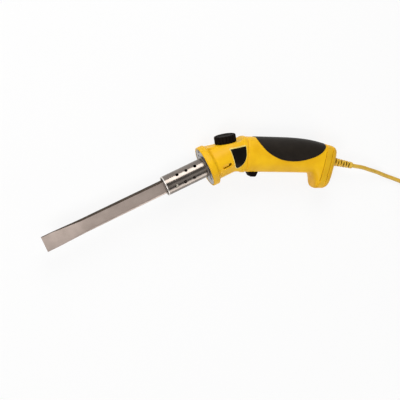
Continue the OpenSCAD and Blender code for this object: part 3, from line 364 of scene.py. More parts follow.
def noise(tree, coords, scale, detail=3.0, stretch=None):
    """Noise on the object's own coordinates, which stretch turns and draws out into streaks."""
    made = tree.nodes.new("ShaderNodeTexNoise")
    made.inputs["Scale"].default_value = scale
    made.inputs["Detail"].default_value = detail
    if stretch:
        turn, squeeze = stretch
        mapping = tree.nodes.new("ShaderNodeMapping")
        mapping.vector_type = "TEXTURE"
        mapping.inputs["Rotation"].default_value = turn
        mapping.inputs["Scale"].default_value = squeeze
        tree.links.new(coords.outputs["Object"], mapping.inputs["Vector"])
        tree.links.new(mapping.outputs["Vector"], made.inputs["Vector"])
    else:
        tree.links.new(coords.outputs["Object"], made.inputs["Vector"])
    return made.outputs["Fac"]


def tinted(tree, source, stops):
    """Colour that goes with a value, from stop to stop."""
    made = tree.nodes.new("ShaderNodeValToRGB")
    band = made.color_ramp.elements
    while len(band) < len(stops):
        band.new(0.5)
    for element, (at, colour) in zip(band, stops):
        element.position = at
        element.color = (*colour, 1)
    tree.links.new(source, made.inputs["Fac"])
    return made.outputs["Color"]


def spread(tree, source, low, high):
    """A value from 0 to 1, brought between low and high."""
    made = tree.nodes.new("ShaderNodeMapRange")
    made.inputs["To Min"].default_value = low
    made.inputs["To Max"].default_value = high
    tree.links.new(source, made.inputs["Value"])
    return made.outputs["Result"]


def bump(tree, shader, source, strength, distance):
    made = tree.nodes.new("ShaderNodeBump")
    made.inputs["Strength"].default_value = strength
    made.inputs["Distance"].default_value = distance
    tree.links.new(source, made.inputs["Height"])
    tree.links.new(made.outputs["Normal"], shader.inputs["Normal"])


def moulded_plastic(name, dark, light, rough, grain=1400.0, relief=0.12, shine=0.5):
    """Plastic or rubber with faint patches and a fine moulded grain."""
    material, tree, shader, coords = finish_named(name)
    patches = noise(tree, coords, PATCH_SCALE, 4.0)
    tree.links.new(tinted(tree, patches, ((0.3, dark), (0.7, light))), shader.inputs["Base Color"])
    fine = noise(tree, coords, grain, 2.0)
    gloss = noise(tree, coords, GLOSS_SCALE)
    tree.links.new(spread(tree, gloss, *rough), shader.inputs["Roughness"])
    bump(tree, shader, fine, relief, GRAIN_DEPTH)
    shader.inputs["Specular IOR Level"].default_value = shine
    return material


def worked_metal(name, dark, light, rough, turn=(0, 0, 0), squeeze=(0.05, 1, 1), streaks=900.0):
    """Metal with drawn streaks over darker and lighter blotches."""
    material, tree, shader, coords = finish_named(name)
    lines = noise(tree, coords, streaks, 3.0, (turn, squeeze))
    blotches = noise(tree, coords, BLOTCH_SCALE, 4.0)
    mottle = tree.nodes.new("ShaderNodeMath")
    mottle.operation = "MULTIPLY_ADD"
    mottle.inputs[1].default_value = STREAK_SHARE
    tree.links.new(lines, mottle.inputs[0])
    tree.links.new(spread(tree, blotches, 0.0, BLOTCH_SHARE), mottle.inputs[2])
    tree.links.new(tinted(tree, mottle.outputs[0], ((0.3, dark), (0.72, light))), shader.inputs["Base Color"])
    tree.links.new(spread(tree, lines, *rough), shader.inputs["Roughness"])
    shader.inputs["Metallic"].default_value = 1.0
    bump(tree, shader, lines, STREAK_RELIEF, STREAK_DEPTH)
    return material


YELLOW = moulded_plastic("yellow_moulding", (0.85, 0.45, 0.005), (0.95, 0.55, 0.008), (0.38, 0.5), shine=0.2)
# Dark amber for the floors of the tail's lines: painted shade in the grooves
PAINTED_SEAM_SHADE = moulded_plastic("painted_seam_shade", (0.36, 0.165, 0.004), (0.46, 0.22, 0.006), (0.5, 0.6), shine=0.1)
PALE_EDGE = moulded_plastic("badge_edging", (0.8, 0.6, 0.13), (0.88, 0.68, 0.2), (0.3, 0.4))
RUBBER = moulded_plastic("grip_rubber", (0.0095, 0.0065, 0.004), (0.017, 0.012, 0.008), (0.52, 0.68), 1800.0,
                         0.35, shine=0.2)
BLACK = moulded_plastic("black_moulding", (0.006, 0.0035, 0.0025), (0.011, 0.007, 0.005), (0.6, 0.75),
                        shine=0.05)
BADGE = moulded_plastic("badge_lacquer", (0.004, 0.003, 0.0025), (0.007, 0.005, 0.004), (0.3, 0.4),
                        shine=0.12)
CORD = moulded_plastic("cord_sheath", (0.64, 0.38, 0.035), (0.76, 0.47, 0.055), (0.38, 0.5), 900.0)
BOOT = moulded_plastic("boot_vinyl", (0.68, 0.41, 0.03), (0.82, 0.52, 0.05), (0.4, 0.52), 900.0)
# Dark brown for the floors of the boot's slots: painted shade
BOOT_SLOT_PAINTED_SHADE = moulded_plastic("boot_slot_painted_shade", (0.05, 0.028, 0.004), (0.1, 0.058, 0.008), (0.5, 0.6), 900.0,
                            shine=0.1)
CERAMIC = moulded_plastic("unglazed_ceramic", (0.62, 0.57, 0.47), (0.74, 0.7, 0.6), (0.6, 0.75), 1100.0, 0.2)
BOARD = moulded_plastic("board_resist", (0.015, 0.10, 0.035), (0.03, 0.15, 0.06), (0.3, 0.42))
FILM = moulded_plastic("dipped_film", (0.33, 0.06, 0.03), (0.45, 0.09, 0.05), (0.3, 0.42))
COPPER = moulded_plastic("lead_sleeving", (0.36, 0.10, 0.05), (0.45, 0.15, 0.07), (0.4, 0.52))
STEEL = worked_metal("plain_steel", (0.34, 0.33, 0.32), (0.5, 0.49, 0.48), (0.26, 0.4))
ALLOY = worked_metal("extruded_alloy", (0.5, 0.5, 0.5), (0.66, 0.66, 0.66), (0.3, 0.45))
PLATE = worked_metal("bright_plate", (0.1, 0.092, 0.086), (0.56, 0.53, 0.5), (0.24, 0.4),
                     squeeze=(1, 1, 1), streaks=260.0)
LIP = worked_metal("rolled_lip", (0.66, 0.62, 0.58), (0.8, 0.76, 0.72), (0.32, 0.44))
SLEEVE = worked_metal("polished_sleeve", (0.12, 0.1, 0.086), (0.31, 0.27, 0.24), (0.17, 0.28),
                      ALONG_BLADE, (0.06, 1, 1), 700.0)
# Dark steel for the blade's edge towards the dial: a painted dark reflection
PAINTED_DARK_EDGE = worked_metal("blade_edge_painted_dark_reflection", (0.035, 0.026, 0.02), (0.09, 0.07, 0.056), (0.42, 0.6),
                        ALONG_BLADE, (0.04, 1, 1))
BLADE = worked_metal("blade_steel", (0.37, 0.3, 0.26), (0.57, 0.475, 0.425), (0.34, 0.48),
                     ALONG_BLADE, (0.04, 1, 1))


# Pieces of the tool

def half_ring(section):
    """Closed line round the left half of a section, turned in at the seam between the halves."""
    steps, gap, groove = 40, 0.12, 0.4
    line = [section_point(section, math.radians(-90 + 180 * k / steps)) for k in range(steps + 1)]
    for end in (0, -1):
        line[end] = Vector((line[end].x, line[end].y, groove))
    smaller = (*section[:4], section[4] + groove, section[5] - groove, *section[6:])
    low, high = (section_point(smaller, math.radians(turn)) for turn in (-90, 90))
    return [Vector((low.x, low.y, gap / 2)), *line, Vector((high.x, high.y, gap / 2))]


def handle_stations():
    """Shares of the length at which the handle has a section, each with its rise above the plain one."""
    foot_from, foot_run, foot_steps = 0.72, 0.135, 40
    shares = {row[0] for row in HANDLE_ROWS} | {k / 60 for k in range(1, 43)} | {0.9, 0.99}
    shares |= {foot_from + foot_run * k / foot_steps for k in range(foot_steps)}
    stations = {share: 0 for share in shares if share > SEAM_EDGE_END}
    for line in TAIL_LINES:
        stations = {share: rise for share, rise in stations.items() if abs(share - line) > LINE_ROOM}
        stations.update({line - LINE_HALF: 0, line - LINE_FLOOR_HALF: -LINE_DEPTH,
                         line + LINE_FLOOR_HALF: -LINE_DEPTH, line + LINE_HALF: 0})
    return [*SEAM_EDGE, *sorted(stations.items())]


def handle_shell(side):
    """One half of the handle, with lines round its tail and a slot for the trigger."""
    bm = bmesh.new()
    stations = handle_stations()
    spans = loft(bm, [half_ring(handle_section(*station)) for station in stations])
    side_facing = 0.3
    # The floors of the lines round the tail, where they face sideways, take the dark amber as painted shade
    for a, b, span in zip(stations, stations[1:], spans):
        if a[0] > SEAM_EDGE_END and a[1] < 0 and b[1] < 0:
            for face in span:
                face.material_index = int(abs(face.normal.y) < side_facing)
    if side == "right":
        mirrored(bm)
    node = "handle_shell_" + side
    shell = piece(bm, node + "_moulding", YELLOW, replaces=[node])
    shell.data.materials.append(PAINTED_SEAM_SHADE)
    below, above = 5, 13
    half_len, half_wide = TRIGGER_LEN / 2 + TRIGGER_PLAY, TRIGGER_W / 2 + TRIGGER_PLAY
    low = Vector((TRIGGER_X - half_len, HANDLE_LOW - below, -half_wide))
    high = Vector((TRIGGER_X + half_len, HANDLE_LOW + above, half_wide))
    slot = bmesh.new()
    box_at(slot, (low + high) / 2, high - low)
    cut_by(shell, slot)
    finish_shading(shell, 20)
    soft_edges(shell, width=0.5, segments=2, angle=20)


def grip_skin(side):
    """Half of the rubber over the top of the handle, which hangs lowest at the middle of its length."""
    bm = bmesh.new()
    front, back, drop, proud, depth, steps = 0.1, 0.842, 31.0, 0.5, 1.2, 18
    front_round, back_round = 0.74, 0.625
    # Sections stand closer together towards both ends
    stops = [0.006, 0.012, 0.02, 0.035, *(0.05 + 0.9 * k / 44 for k in range(45)), 0.965, 0.98, 0.985, 0.99]
    loops = []
    for u in stops:
        share = front + (back - front) * u
        fall = drop * (1 - (2 * u - 1) ** 2) ** (front_round if u < 0.5 else back_round)
        flat = handle_section(share, 0)
        half = (flat[5] - flat[4]) / 2
        low = math.asin(signed_power((half - fall) / half, flat[7] / 2))
        turns = [low + (math.pi / 2 - low) * k / steps for k in range(steps + 1)]
        outer = [section_point(handle_section(share, proud), t) for t in turns]
        inner = [section_point(handle_section(share, -depth), t) for t in reversed(turns)]
        loops.append([*outer, *inner])
    loft(bm, loops)
    if side == "right":
        mirrored(bm)
    grip = piece(bm, f"grip_{side}_rubber", RUBBER, replaces=["grip_" + side])
    soft_edges(grip, width=0.35, segments=2, angle=50)


def head_section(kind, at, grow):
    """Section of the neck at a distance, of the bend at a share of its turn, or of the collar at an x."""
    if kind == "neck":
        half = NECK_R + grow
        way = Vector((-math.cos(BEND), -math.sin(BEND)))
        return (at * way.x, at * way.y, -math.sin(BEND), math.cos(BEND), -half, half, half, 2)
    if kind == "bend":
        crease = 6.0
        x = ((NECK_R + crease) + (HANDLE_LOW - crease) * math.cos(BEND)) / math.sin(BEND)
        turn = BEND * at
        tall = 2 * NECK_R * at + HANDLE_H * (1 - at)
        half = NECK_R * at + HANDLE_W / 2 * (1 - at)
        return (x, HANDLE_LOW - crease, -math.sin(turn), math.cos(turn), crease - grow, crease + tall + grow,
                half + grow, 2 * at + HANDLE_ROUND * (1 - at))
    return (at, 0, 0, 1, HANDLE_LOW - grow, HANDLE_RISE + grow, HANDLE_W / 2 + grow, HANDLE_ROUND)


def head_skin(sections):
    """Closed skin through sections of the head, each with what it rises above the plain form."""
    bm = bmesh.new()
    turns = full_turn(80)
    loft(bm, [[section_point(head_section(*section), turn) for turn in turns] for section in sections])
    return bm


def head_shape():
    steps = 8
    return ([("neck", at, 0) for at in NECK_STATIONS]
            + [("bend", k / steps, 0) for k in range(steps, -1, -1)]
            + [("collar", SEAM_X - before, rise) for before, rise in COLLAR_STATIONS])


def badge_shape(proud):
    """The head without its collar, which the badge spans in one sweep."""
    steps = 16
    return ([("neck", at, proud) for at in NECK_STATIONS]
            + [("bend", k / steps, proud + COLLAR_PROUD * eased(1 - k / steps)) for k in range(steps, -1, -1)]
            + [("collar", x, proud + COLLAR_PROUD) for x in (SEAM_X - 4, SEAM_X)])


def head_moulding():
    """Hollow head with the dial's deck and a vent in each cheek."""
    head = piece(head_skin(head_shape()), "head_moulding", YELLOW, replaces=["front_housing"])
    # Flat deck for the dial, then a short slope up to the collar
    wedge = bmesh.new()
    deck_back, deck_front, clear, reach = 16.5, 50, 60, 80
    back, start = DECK_POINT + deck_back * DECK_WAY, DECK_POINT - deck_front * DECK_WAY
    collar_x = SEAM_X - 1.2
    slab(wedge, [start, back, Vector((collar_x, HANDLE_RISE + COLLAR_PROUD + 1, 0)),
                 Vector((collar_x, reach, 0)), Vector((start.x, reach, 0))], clear)
    cut_by(head, wedge)
    wall = head.modifiers.new("wall", "SOLIDIFY")
    wall.thickness = SHELL_WALL * MM
    wall.offset = -1
    settled(head)
    # The vent's floor falls inwards to a slit along its lower edge, and its back end is open
    cutter_len = 20
    for side in (-1, 1):
        facing = Matrix.Rotation(math.atan2(-side * VENT_WAY[1], VENT_WAY[0]), 4, "Z")
        for depth, lean, tall, run, at, drop in VENT_CUTS:
            slot = bmesh.new()
            box_at(slot, (cutter_len / 2 - depth, 0, 0), (cutter_len, tall, run))
            inward = [e for e in slot.edges if abs((e.verts[0].co - e.verts[1].co).x) > 1]
            bmesh.ops.bevel(slot, geom=inward, offset=tall * 0.3, offset_type="OFFSET", affect="EDGES",
                            segments=5, profile=0.5, material=-1)
            tilt = Matrix.Rotation(math.radians(-side * lean), 4, "Z")
            cut_by(head, slot, HEAD @ facing @ Matrix.Translation((NECK_R, -side * drop, at)) @ tilt)
    finish_shading(head, 35)
    soft_edges(head, width=0.5, segments=2, angle=45)


def deck_ramp():
    """Low wedge that carries the dial deck forward to the flange."""
    bm = bmesh.new()
    from_dial, to_flange, sunk, deep, half_wide = 14, 33, 0.03, 6, 11
    down = Vector((math.sin(DECK_TILT), -math.cos(DECK_TILT), 0))
    near, far = (DECK_POINT - run * DECK_WAY + sunk * down for run in (from_dial, to_flange))
    slab(bm, [near, far, far + deep * down, near + deep * down], half_wide)
    ramp = piece(bm, "deck_ramp", YELLOW)
    soft_edges(ramp, width=1.0, segments=3, angle=50)


def head_flange():
    """Flange that flares from the neck, with a seat for the vent plate and a web behind it."""
    bm = bmesh.new()
    round_r, seat_r, bore_r, inside_r = 1.6, 27.3, 15.5, NECK_R - 1.3
    web_back_s, web_front_s = 35.4, 39.9
    # Radius and distance from the bend: web, hollow flare, rim and seat
    profile = [(bore_r, web_back_s), (inside_r, web_back_s), (inside_r, 26.8), (NECK_R - 0.05, 27.0),
               (NECK_R + 0.1, 27.7), (NECK_R + 0.45, 28.5), (NECK_R + 1.1, 29.4), (NECK_R + 2.1, 30.3),
               (FLANGE_R - 1.6, 31.2), (FLANGE_R - 0.5, 31.9), (FLANGE_R, 33.0)]
    profile += [(FLANGE_R + round_r * (math.cos(a) - 1), FLANGE_S + round_r * (math.sin(a) - 1))
                for a in arc(7, 15)]
    profile += [(seat_r + 0.2, FLANGE_S), (seat_r, FLANGE_S - 0.2), (seat_r, web_front_s),
                (bore_r, web_front_s)]
    spun(bm, profile, 96)
    # The web behind the vent plate is painted black as painted shade, so that its vents look in on the dark
    for face in bm.faces:
        centre = face.calc_center_median()
        if math.hypot(centre.x, centre.y) < seat_r and abs(face.normal.z) > 0.9:
            face.material_index = 1
    flange = piece(bm, "head_flange", YELLOW, place=HEAD, replaces=["front_housing"])
    flange.data.materials.append(BLACK)


def pressed_width(t):
    """Width of the tube where it is pressed to a thickness and keeps its girth."""
    return (math.pi * (TUBE_D - TUBE_WALL) - math.pi * (t - TUBE_WALL)) / 2 + t


def blade_thickness(s):
    """Thickness of the blade at a distance from the bend: round, then pressed, then thinned to the tip."""
    if s < SLEEVE_MOUTH_S:
        pressed = eased((s - PRESS_START_S) / (SLEEVE_MOUTH_S - PRESS_START_S))
        return TUBE_D - TUBE_FREE + (MOUTH_T - TUBE_D) * pressed
    if s < PRESS_END_S:
        return MOUTH_T + (BODY_T - MOUTH_T) * (s - SLEEVE_MOUTH_S) / (PRESS_END_S - SLEEVE_MOUTH_S)
    f = min((s - PRESS_END_S) / PRESS_LEN, 1.0)
    bowed = 0.2
    return BODY_T + (TIP_T - BODY_T) * ((1 - bowed) * f + bowed * eased(f))


def hot_blade():
    """Steel tube pressed flat, with the edge towards the dial painted dark as a painted dark reflection."""
    bm = bmesh.new()
    steps, tip_width, tip_thickness, edge_facing = 16, 0.994, 0.5, 0.12
    stations = [22, 40, 60, PRESS_START_S, *spaced(PRESS_START_S, SLEEVE_MOUTH_S, 12),
                *spaced(SLEEVE_MOUTH_S, PRESS_END_S, 10), *spaced(PRESS_END_S, TIP_S - TIP_FLAT, 24),
                TIP_S - 9, TIP_S - 4, TIP_S - 0.8, TIP_S - 0.2]
    loops = []
    for s in stations:
        t = blade_thickness(s)
        run = max(pressed_width(t) - t, 0) / 2
        loops.append([Vector((m * run + m * t / 2 * math.sin(math.pi * k / steps),
                              m * t / 2 * math.cos(math.pi * k / steps), s))
                      for m in (1, -1) for k in range(steps + 1)])
    loops.append([Vector((p.x * tip_width, p.y * tip_thickness, TIP_S)) for p in loops[-1]])
    loft(bm, loops)
    # Faces of the edge towards the dial take the dark steel as a painted dark reflection
    for face in bm.faces:
        face.material_index = int(face.normal.x > edge_facing)
    blade = piece(bm, "hot_blade", BLADE, place=HEAD, replaces=["blade"])
    blade.data.materials.append(PAINTED_DARK_EDGE)


def perforated_sleeve():
    """Heat sleeve on a turned-out foot, with six rows of three holes, every other row half a step on."""
    bm = bmesh.new()
    foot_r, base, inside_r = SLEEVE_R + 2.2, 41.1, SLEEVE_R - SLEEVE_WALL
    spun(bm, [(inside_r, base), (foot_r, base), (foot_r, base + 0.5), (foot_r - 0.4, base + SLEEVE_WALL),
              (SLEEVE_R + 0.5, base + SLEEVE_WALL), (SLEEVE_R, base + 1.4), (SLEEVE_R, SLEEVE_MOUTH_S),
              (inside_r, SLEEVE_MOUTH_S)], 128)
    sleeve = piece(bm, "perforated_sleeve", SLEEVE, place=HEAD, replaces=["heat_sleeve"])
    rows, per_row, first_turn, first_s, pitch, hole_r = 6, 3, -45, 56, 14, 2.4
    holes = bmesh.new()
    for row in range(rows):
        turn = Matrix.Rotation(math.radians(360 / rows * row + first_turn), 4, "Z")
        for k in range(per_row):
            place = turn @ Matrix.Translation((SLEEVE_R, 0, first_s + pitch * (k + (row % 2) / 2)))
            bmesh.ops.create_cone(holes, cap_ends=True, segments=32, radius1=hole_r, radius2=hole_r, depth=8,
                                  matrix=place @ Matrix.Rotation(math.radians(90), 4, "Y"))
    cut_by(sleeve, holes, HEAD)
    finish_shading(sleeve, 35)


def sleeve_lip():
    """Rolled bright edge round the mouth of the sleeve."""
    bm = bmesh.new()
    middle_r, middle_s = SLEEVE_R - SLEEVE_WALL / 2, SLEEVE_MOUTH_S - 0.9
    half_thick, half_long = 0.72, 1.05
    profile = [(middle_r + half_thick * math.cos(a), middle_s + half_long * math.sin(a))
               for a in full_turn(12)]
    spun(bm, profile, 96)
    piece(bm, "sleeve_lip", LIP, place=HEAD)


def fluted_ring(r, z, depth):
    """Ring round the dial's axis, drawn in at each flute."""
    flutes, points_per_flute = 18, 10
    line = []
    for a in full_turn(flutes * points_per_flute):
        q = r - depth * max(0.0, math.cos(flutes * a)) ** 2
        line.append(Vector((q * math.cos(a), q * math.sin(a), z)))
    return line


def control_dial():
    """Fluted dial with a bore for its shaft, a dished top and a small raised mark."""
    bm = bmesh.new()
    flute, round_r, bore_r, recess_r = 1.3, 1.6, 3.05, 8.0
    bore_top, recess_top = DIAL_TOP - 2.0, DIAL_GAP + 4.2
    # Radius, height and depth of the flutes: bore, recess, fluted side, rounded edge and dished top
    rows = [(bore_r, bore_top, 0), (bore_r, recess_top, 0), (recess_r, recess_top, 0),
            (recess_r, DIAL_GAP, 0), (DIAL_R - 0.6, DIAL_GAP, flute), (DIAL_R, DIAL_GAP + 0.6, flute),
            (DIAL_R, DIAL_TOP - round_r, flute)]
    for a in arc(7, 15)[1:]:
        rows.append((DIAL_R + round_r * (math.cos(a) - 1), DIAL_TOP + round_r * (math.sin(a) - 1),
                     flute * math.cos(a)))
    rows += [(12.4, DIAL_TOP - 0.05, 0), (11.8, DIAL_TOP - 0.5, 0), (2.0, DIAL_TOP - 0.6, 0)]
    loft(bm, [fluted_ring(*row) for row in rows])
    mark_at, mark_size = (-13.2, 0, DIAL_TOP - 0.2), (2.6, 1.1, 0.8)
    box_at(bm, mark_at, mark_size)
    piece(bm, "control_dial", BLACK, "dial", DECK, 40, ["dial"])


def trigger_button():
    """Block that narrows below the handle, with rounded edges."""
    bm = bmesh.new()
    half, low, top = TRIGGER_LEN / 2, HANDLE_LOW - TRIGGER_OUT, HANDLE_LOW + TRIGGER_TOP
    front_slant, back_slant, corner, round_r = 3, 2, 1.5, 1.0
    outline = [(-half, top), (-half, HANDLE_LOW), (-half + front_slant, low + corner),
               (-half + front_slant + corner, low), (half - back_slant - corner, low),
               (half - back_slant, low + corner), (half, HANDLE_LOW), (half, top)]
    slab(bm, [Vector((TRIGGER_X + x, y, 0)) for x, y in outline], TRIGGER_W / 2)
    bmesh.ops.bevel(bm, geom=[e for e in bm.edges if e.calc_face_angle(0) > 0.2], offset=round_r,
                    offset_type="OFFSET", affect="EDGES", segments=4, profile=0.5, material=-1)
    piece(bm, "trigger_button", BLACK, "trigger", replaces=["trigger"])


def relief_boot():
    """Tapered boot: rings on a thin sleeve, tied by bars that are set crosswise in turn."""
    bm = bmesh.new()
    plain, count, core, soft, bar, bar_in = 3.0, 6, 3.45, 0.35, 2.6, 1.45
    hidden_r, hidden_from, hidden_to = 8, -5.8, -3.5
    step = (RELIEF_LEN - 2 * plain) / (2 * count)

    def radius(d):
        return RELIEF_ROOT_R + (RELIEF_TIP_R - RELIEF_ROOT_R) * d / RELIEF_LEN

    profile = [(CORD_BORE_R, hidden_from), (hidden_r, hidden_from), (hidden_r, hidden_to),
               (RELIEF_ROOT_R, hidden_to), (RELIEF_ROOT_R, plain - 0.4), (RELIEF_ROOT_R - 0.4, plain)]
    for i in range(count):
        a = plain + step * 2 * i
        b, c = a + step, a + 2 * step
        profile += [(core, a + 0.05), (core, b - 0.05), (radius(b) - soft, b), (radius(b), b + soft),
                    (radius(c), c - soft), (radius(c) - soft, c)]
    profile += [(RELIEF_TIP_R, RELIEF_LEN - plain + 0.4), (RELIEF_TIP_R, RELIEF_LEN - 0.6),
                (RELIEF_TIP_R - 0.6, RELIEF_LEN), (CORD_BORE_R, RELIEF_LEN)]
    spun(bm, profile, 48)
    for i in range(count):
        d = plain + step * (2 * i + 0.5)
        for m in (0, 1):
            turn = Matrix.Rotation(math.radians(45 + 90 * (i % 2) + 180 * m), 4, "Z")
            box_at(bm, (radius(d) - bar_in, 0, d), (bar, bar, step * 1.1), turn)
    # The floors of the slots between the rings are painted dark, as painted shade
    for face in bm.faces:
        centre = face.calc_center_median()
        if plain < centre.z < RELIEF_LEN - plain and math.hypot(centre.x, centre.y) < core + 0.4:
            face.material_index = 1
    boot = piece(bm, "relief_boot", BOOT, place=RELIEF, replaces=["strain_relief"])
    boot.data.materials.append(BOOT_SLOT_PAINTED_SHADE)
    return boot


def smoothed(points, per):
    """Points of a smooth curve through the given ones."""
    out = []
    for i in range(len(points) - 1):
        p0, p1 = points[max(i - 1, 0)], points[i]
        p2, p3 = points[i + 1], points[min(i + 2, len(points) - 1)]
        for k in range(per):
            t = k / per
            out.append(0.5 * (2 * p1 + (p2 - p0) * t + (2 * p0 - 5 * p1 + 4 * p2 - p3) * t * t
                              + (3 * p1 - p0 - 3 * p2 + p3) * t ** 3))
    return [*out, points[-1]]


def coil_point(turn):
    """Point of the coil after so many turns: flat spirals in and out, with a climb from each to the next."""
    pitch, inner, spiral, climb_turns = CORD_D * 1.22, 26.0, 2, 0.5
    layer = math.floor(turn / (spiral + climb_turns))
    f = turn - layer * (spiral + climb_turns)
    wound = min(f, spiral)
    climb = max(f - spiral, 0) / climb_turns
    r = inner + 2 * pitch - pitch * wound if layer % 2 == 0 else inner + pitch * wound
    a = math.tau * turn
    lift = 1.5 + CORD_D / 2
    return Vector((COIL_X + r * math.sin(a), COIL_Y + r * math.cos(a), lift + pitch * (layer + climb)))


def mains_cord():
    """Cord from the boot over the surface into its coil and on to the plug, with its exit and its length."""
    exit_at = LAY @ RELIEF @ Vector((0, 0, RELIEF_LEN + 0.05)) / MM
    way = (LAY @ RELIEF).to_3x3() @ Vector((0, 0, 1))
    way.normalize()
    turns, points_per_turn = 9.25, 24
    along, across = Vector((CORD_D, 0, 0)), Vector((0, CORD_D, 0))
    coil = [coil_point(k / points_per_turn) for k in range(int(turns * points_per_turn) + 1)]
    coil = [coil[0] - 2 * along, coil[0] - along, *coil, coil[-1] - across, coil[-1] - 2 * across]
    lead = [exit_at, exit_at + CORD_D * way, *map(Vector, LEAD_ROUTE)]
    points = smoothed([*lead, *coil, *map(Vector, TAIL_ROUTE)], 4)
    curve = bpy.data.curves.new("mains_cord", "CURVE")
    curve.dimensions = "3D"
    line = curve.splines.new("POLY")
    line.points.add(len(points) - 1)
    for slot, p in zip(line.points, points):
        slot.co = (*(p * MM), 1)
    curve.bevel_depth = CORD_D / 2 * MM
    curve.bevel_resolution = 3
    curve.use_fill_caps = True
    obj = bpy.data.objects.new("mains_cord", curve)
    bpy.context.scene.collection.objects.link(obj)
    curve.materials.append(CORD)
    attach(obj, "tool")
    for node in ("cord_lead", "cord_coil", "cord_tail"):
        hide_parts(node)
    length = sum((b - a).length for a, b in zip(points, points[1:])) * MM
    return obj, exit_at * MM, length


def on_floor(bm, name, material, replaces):
    """A piece given in millimetres on the surface, not in the tool's frame."""
    return piece(bm, name, material, place=LAY.inverted() @ Matrix.Scale(MM, 4), replaces=replaces)


def plug_moulding():
    bm = bmesh.new()
    rounding = 5.0
    loops = []
    for d, w, h in PLUG_SECTIONS:
        line = [section_point((0, 0, 0, 1, -h / 2, h / 2, w / 2, rounding), turn) for turn in full_turn(48)]
        loops.append([PLUG_AT + Vector((p.z, -d, p.y)) for p in line])
    loft(bm, loops)
    return on_floor(bm, "plug_moulding", CORD, ["plug_body"])


def coil_tie():
    """Flat strap round the whole bundle of the coil."""
    bm = bmesh.new()
    inner, outer, top, t, half_wide, tie_turn = 22.1, 44.54, 29.76, 1.2, 6.0, 205

    def strap_line(grow):
        corner = 3.0 + grow
        far, near = outer + grow - corner, inner - grow + corner
        high, low = top + grow - corner, t - grow + corner
        return [(x + corner * math.cos(math.radians(a)), y + corner * math.sin(math.radians(a)))
                for x, y, start in ((far, high, 0), (near, high, 90), (near, low, 180), (far, low, 270))
                for a in range(start, start + 91, 15)]

    inside, outside = strap_line(0), strap_line(t)
    edges = ((outside, -half_wide), (outside, half_wide), (inside, half_wide), (inside, -half_wide))
    rings = [ring(bm, [Vector((x, y, z)) for x, y in outline]) for outline, z in edges]
    for a, b in zip(rings, rings[1:] + rings[:1]):
        bmesh.ops.bridge_loops(bm, edges=a + b)
    bmesh.ops.recalc_face_normals(bm, faces=bm.faces)
    place = (Matrix.Translation((COIL_X, COIL_Y, 0)) @ Matrix.Rotation(math.radians(tie_turn), 4, "Z")
             @ Matrix.Rotation(math.radians(90), 4, "X"))
    bmesh.ops.transform(bm, matrix=place, verts=bm.verts)
    tie = on_floor(bm, "coil_tie", RUBBER, ["cord_tie"])
    soft_edges(tie, width=0.4, segments=2, angle=50)
    return tie


def badge_plate(side, layer, shrink, low, high, material):
    """One layer of the bare badge, bent to the side of the head."""
    outward = 1 if side == "left" else -1
    outline = [Vector(BADGE_CORNER), *smoothed([Vector(p) for p in BADGE_CURVE], 5)]
    middle = sum(outline, Vector((0, 0))) / len(outline)
    outline = [NECK_R * (middle + shrink * (p - middle)) for p in outline]
    bm = bmesh.new()
    inside, outside = 8, 34
    loft(bm, [[Vector((p.x, p.y, z * outward)) for p in outline] for z in (inside, outside)])
    plate = piece(bm, "badge_" + side + "_" + layer, material, replaces=["badge_" + side])
    cut_by(plate, head_skin(badge_shape(high)), keep=True)
    cut_by(plate, head_skin(badge_shape(low)))
    finish_shading(plate, 35)


# Camera, floor and light

def place_camera():
    """Camera at the photo's viewing angle, for a square frame."""
    az, el, roll = math.radians(18), math.radians(7), math.radians(-3.4)
    dist, per_px, picture, film = 1500.0, 1.42, 400, 36
    bend_px, bend_py = 230.4, 154.5
    towards = Vector((-math.sin(az) * math.cos(el), math.sin(el), math.cos(az) * math.cos(el)))
    up0 = (Vector((0, 1, 0)) - towards * towards.y).normalized()
    right0 = up0.cross(towards)
    right = math.cos(roll) * right0 - math.sin(roll) * up0
    up = math.sin(roll) * right0 + math.cos(roll) * up0
    focal = dist / per_px
    # The tool's bend falls on that pixel of the picture
    off = Vector((bend_px - picture / 2, picture / 2 - bend_py)) / focal
    aim = (towards + right * off.x + up * off.y).normalized()
    side = up.cross(aim).normalized()
    rise = aim.cross(side)
    turn = Matrix((side, rise, aim)).transposed().to_4x4()
    data = bpy.data.cameras.new("camera")
    data.sensor_width = film
    data.lens = film * focal / picture
    data.clip_end = 4 * FLOOR_REACH
    camera = bpy.data.objects.new("camera", data)
    bpy.context.scene.collection.objects.link(camera)
    tilt = LAY.to_3x3().normalized().to_4x4()
    camera.matrix_world = Matrix.Translation(LAY @ (towards * dist)) @ tilt @ turn
    bpy.context.scene.camera = camera


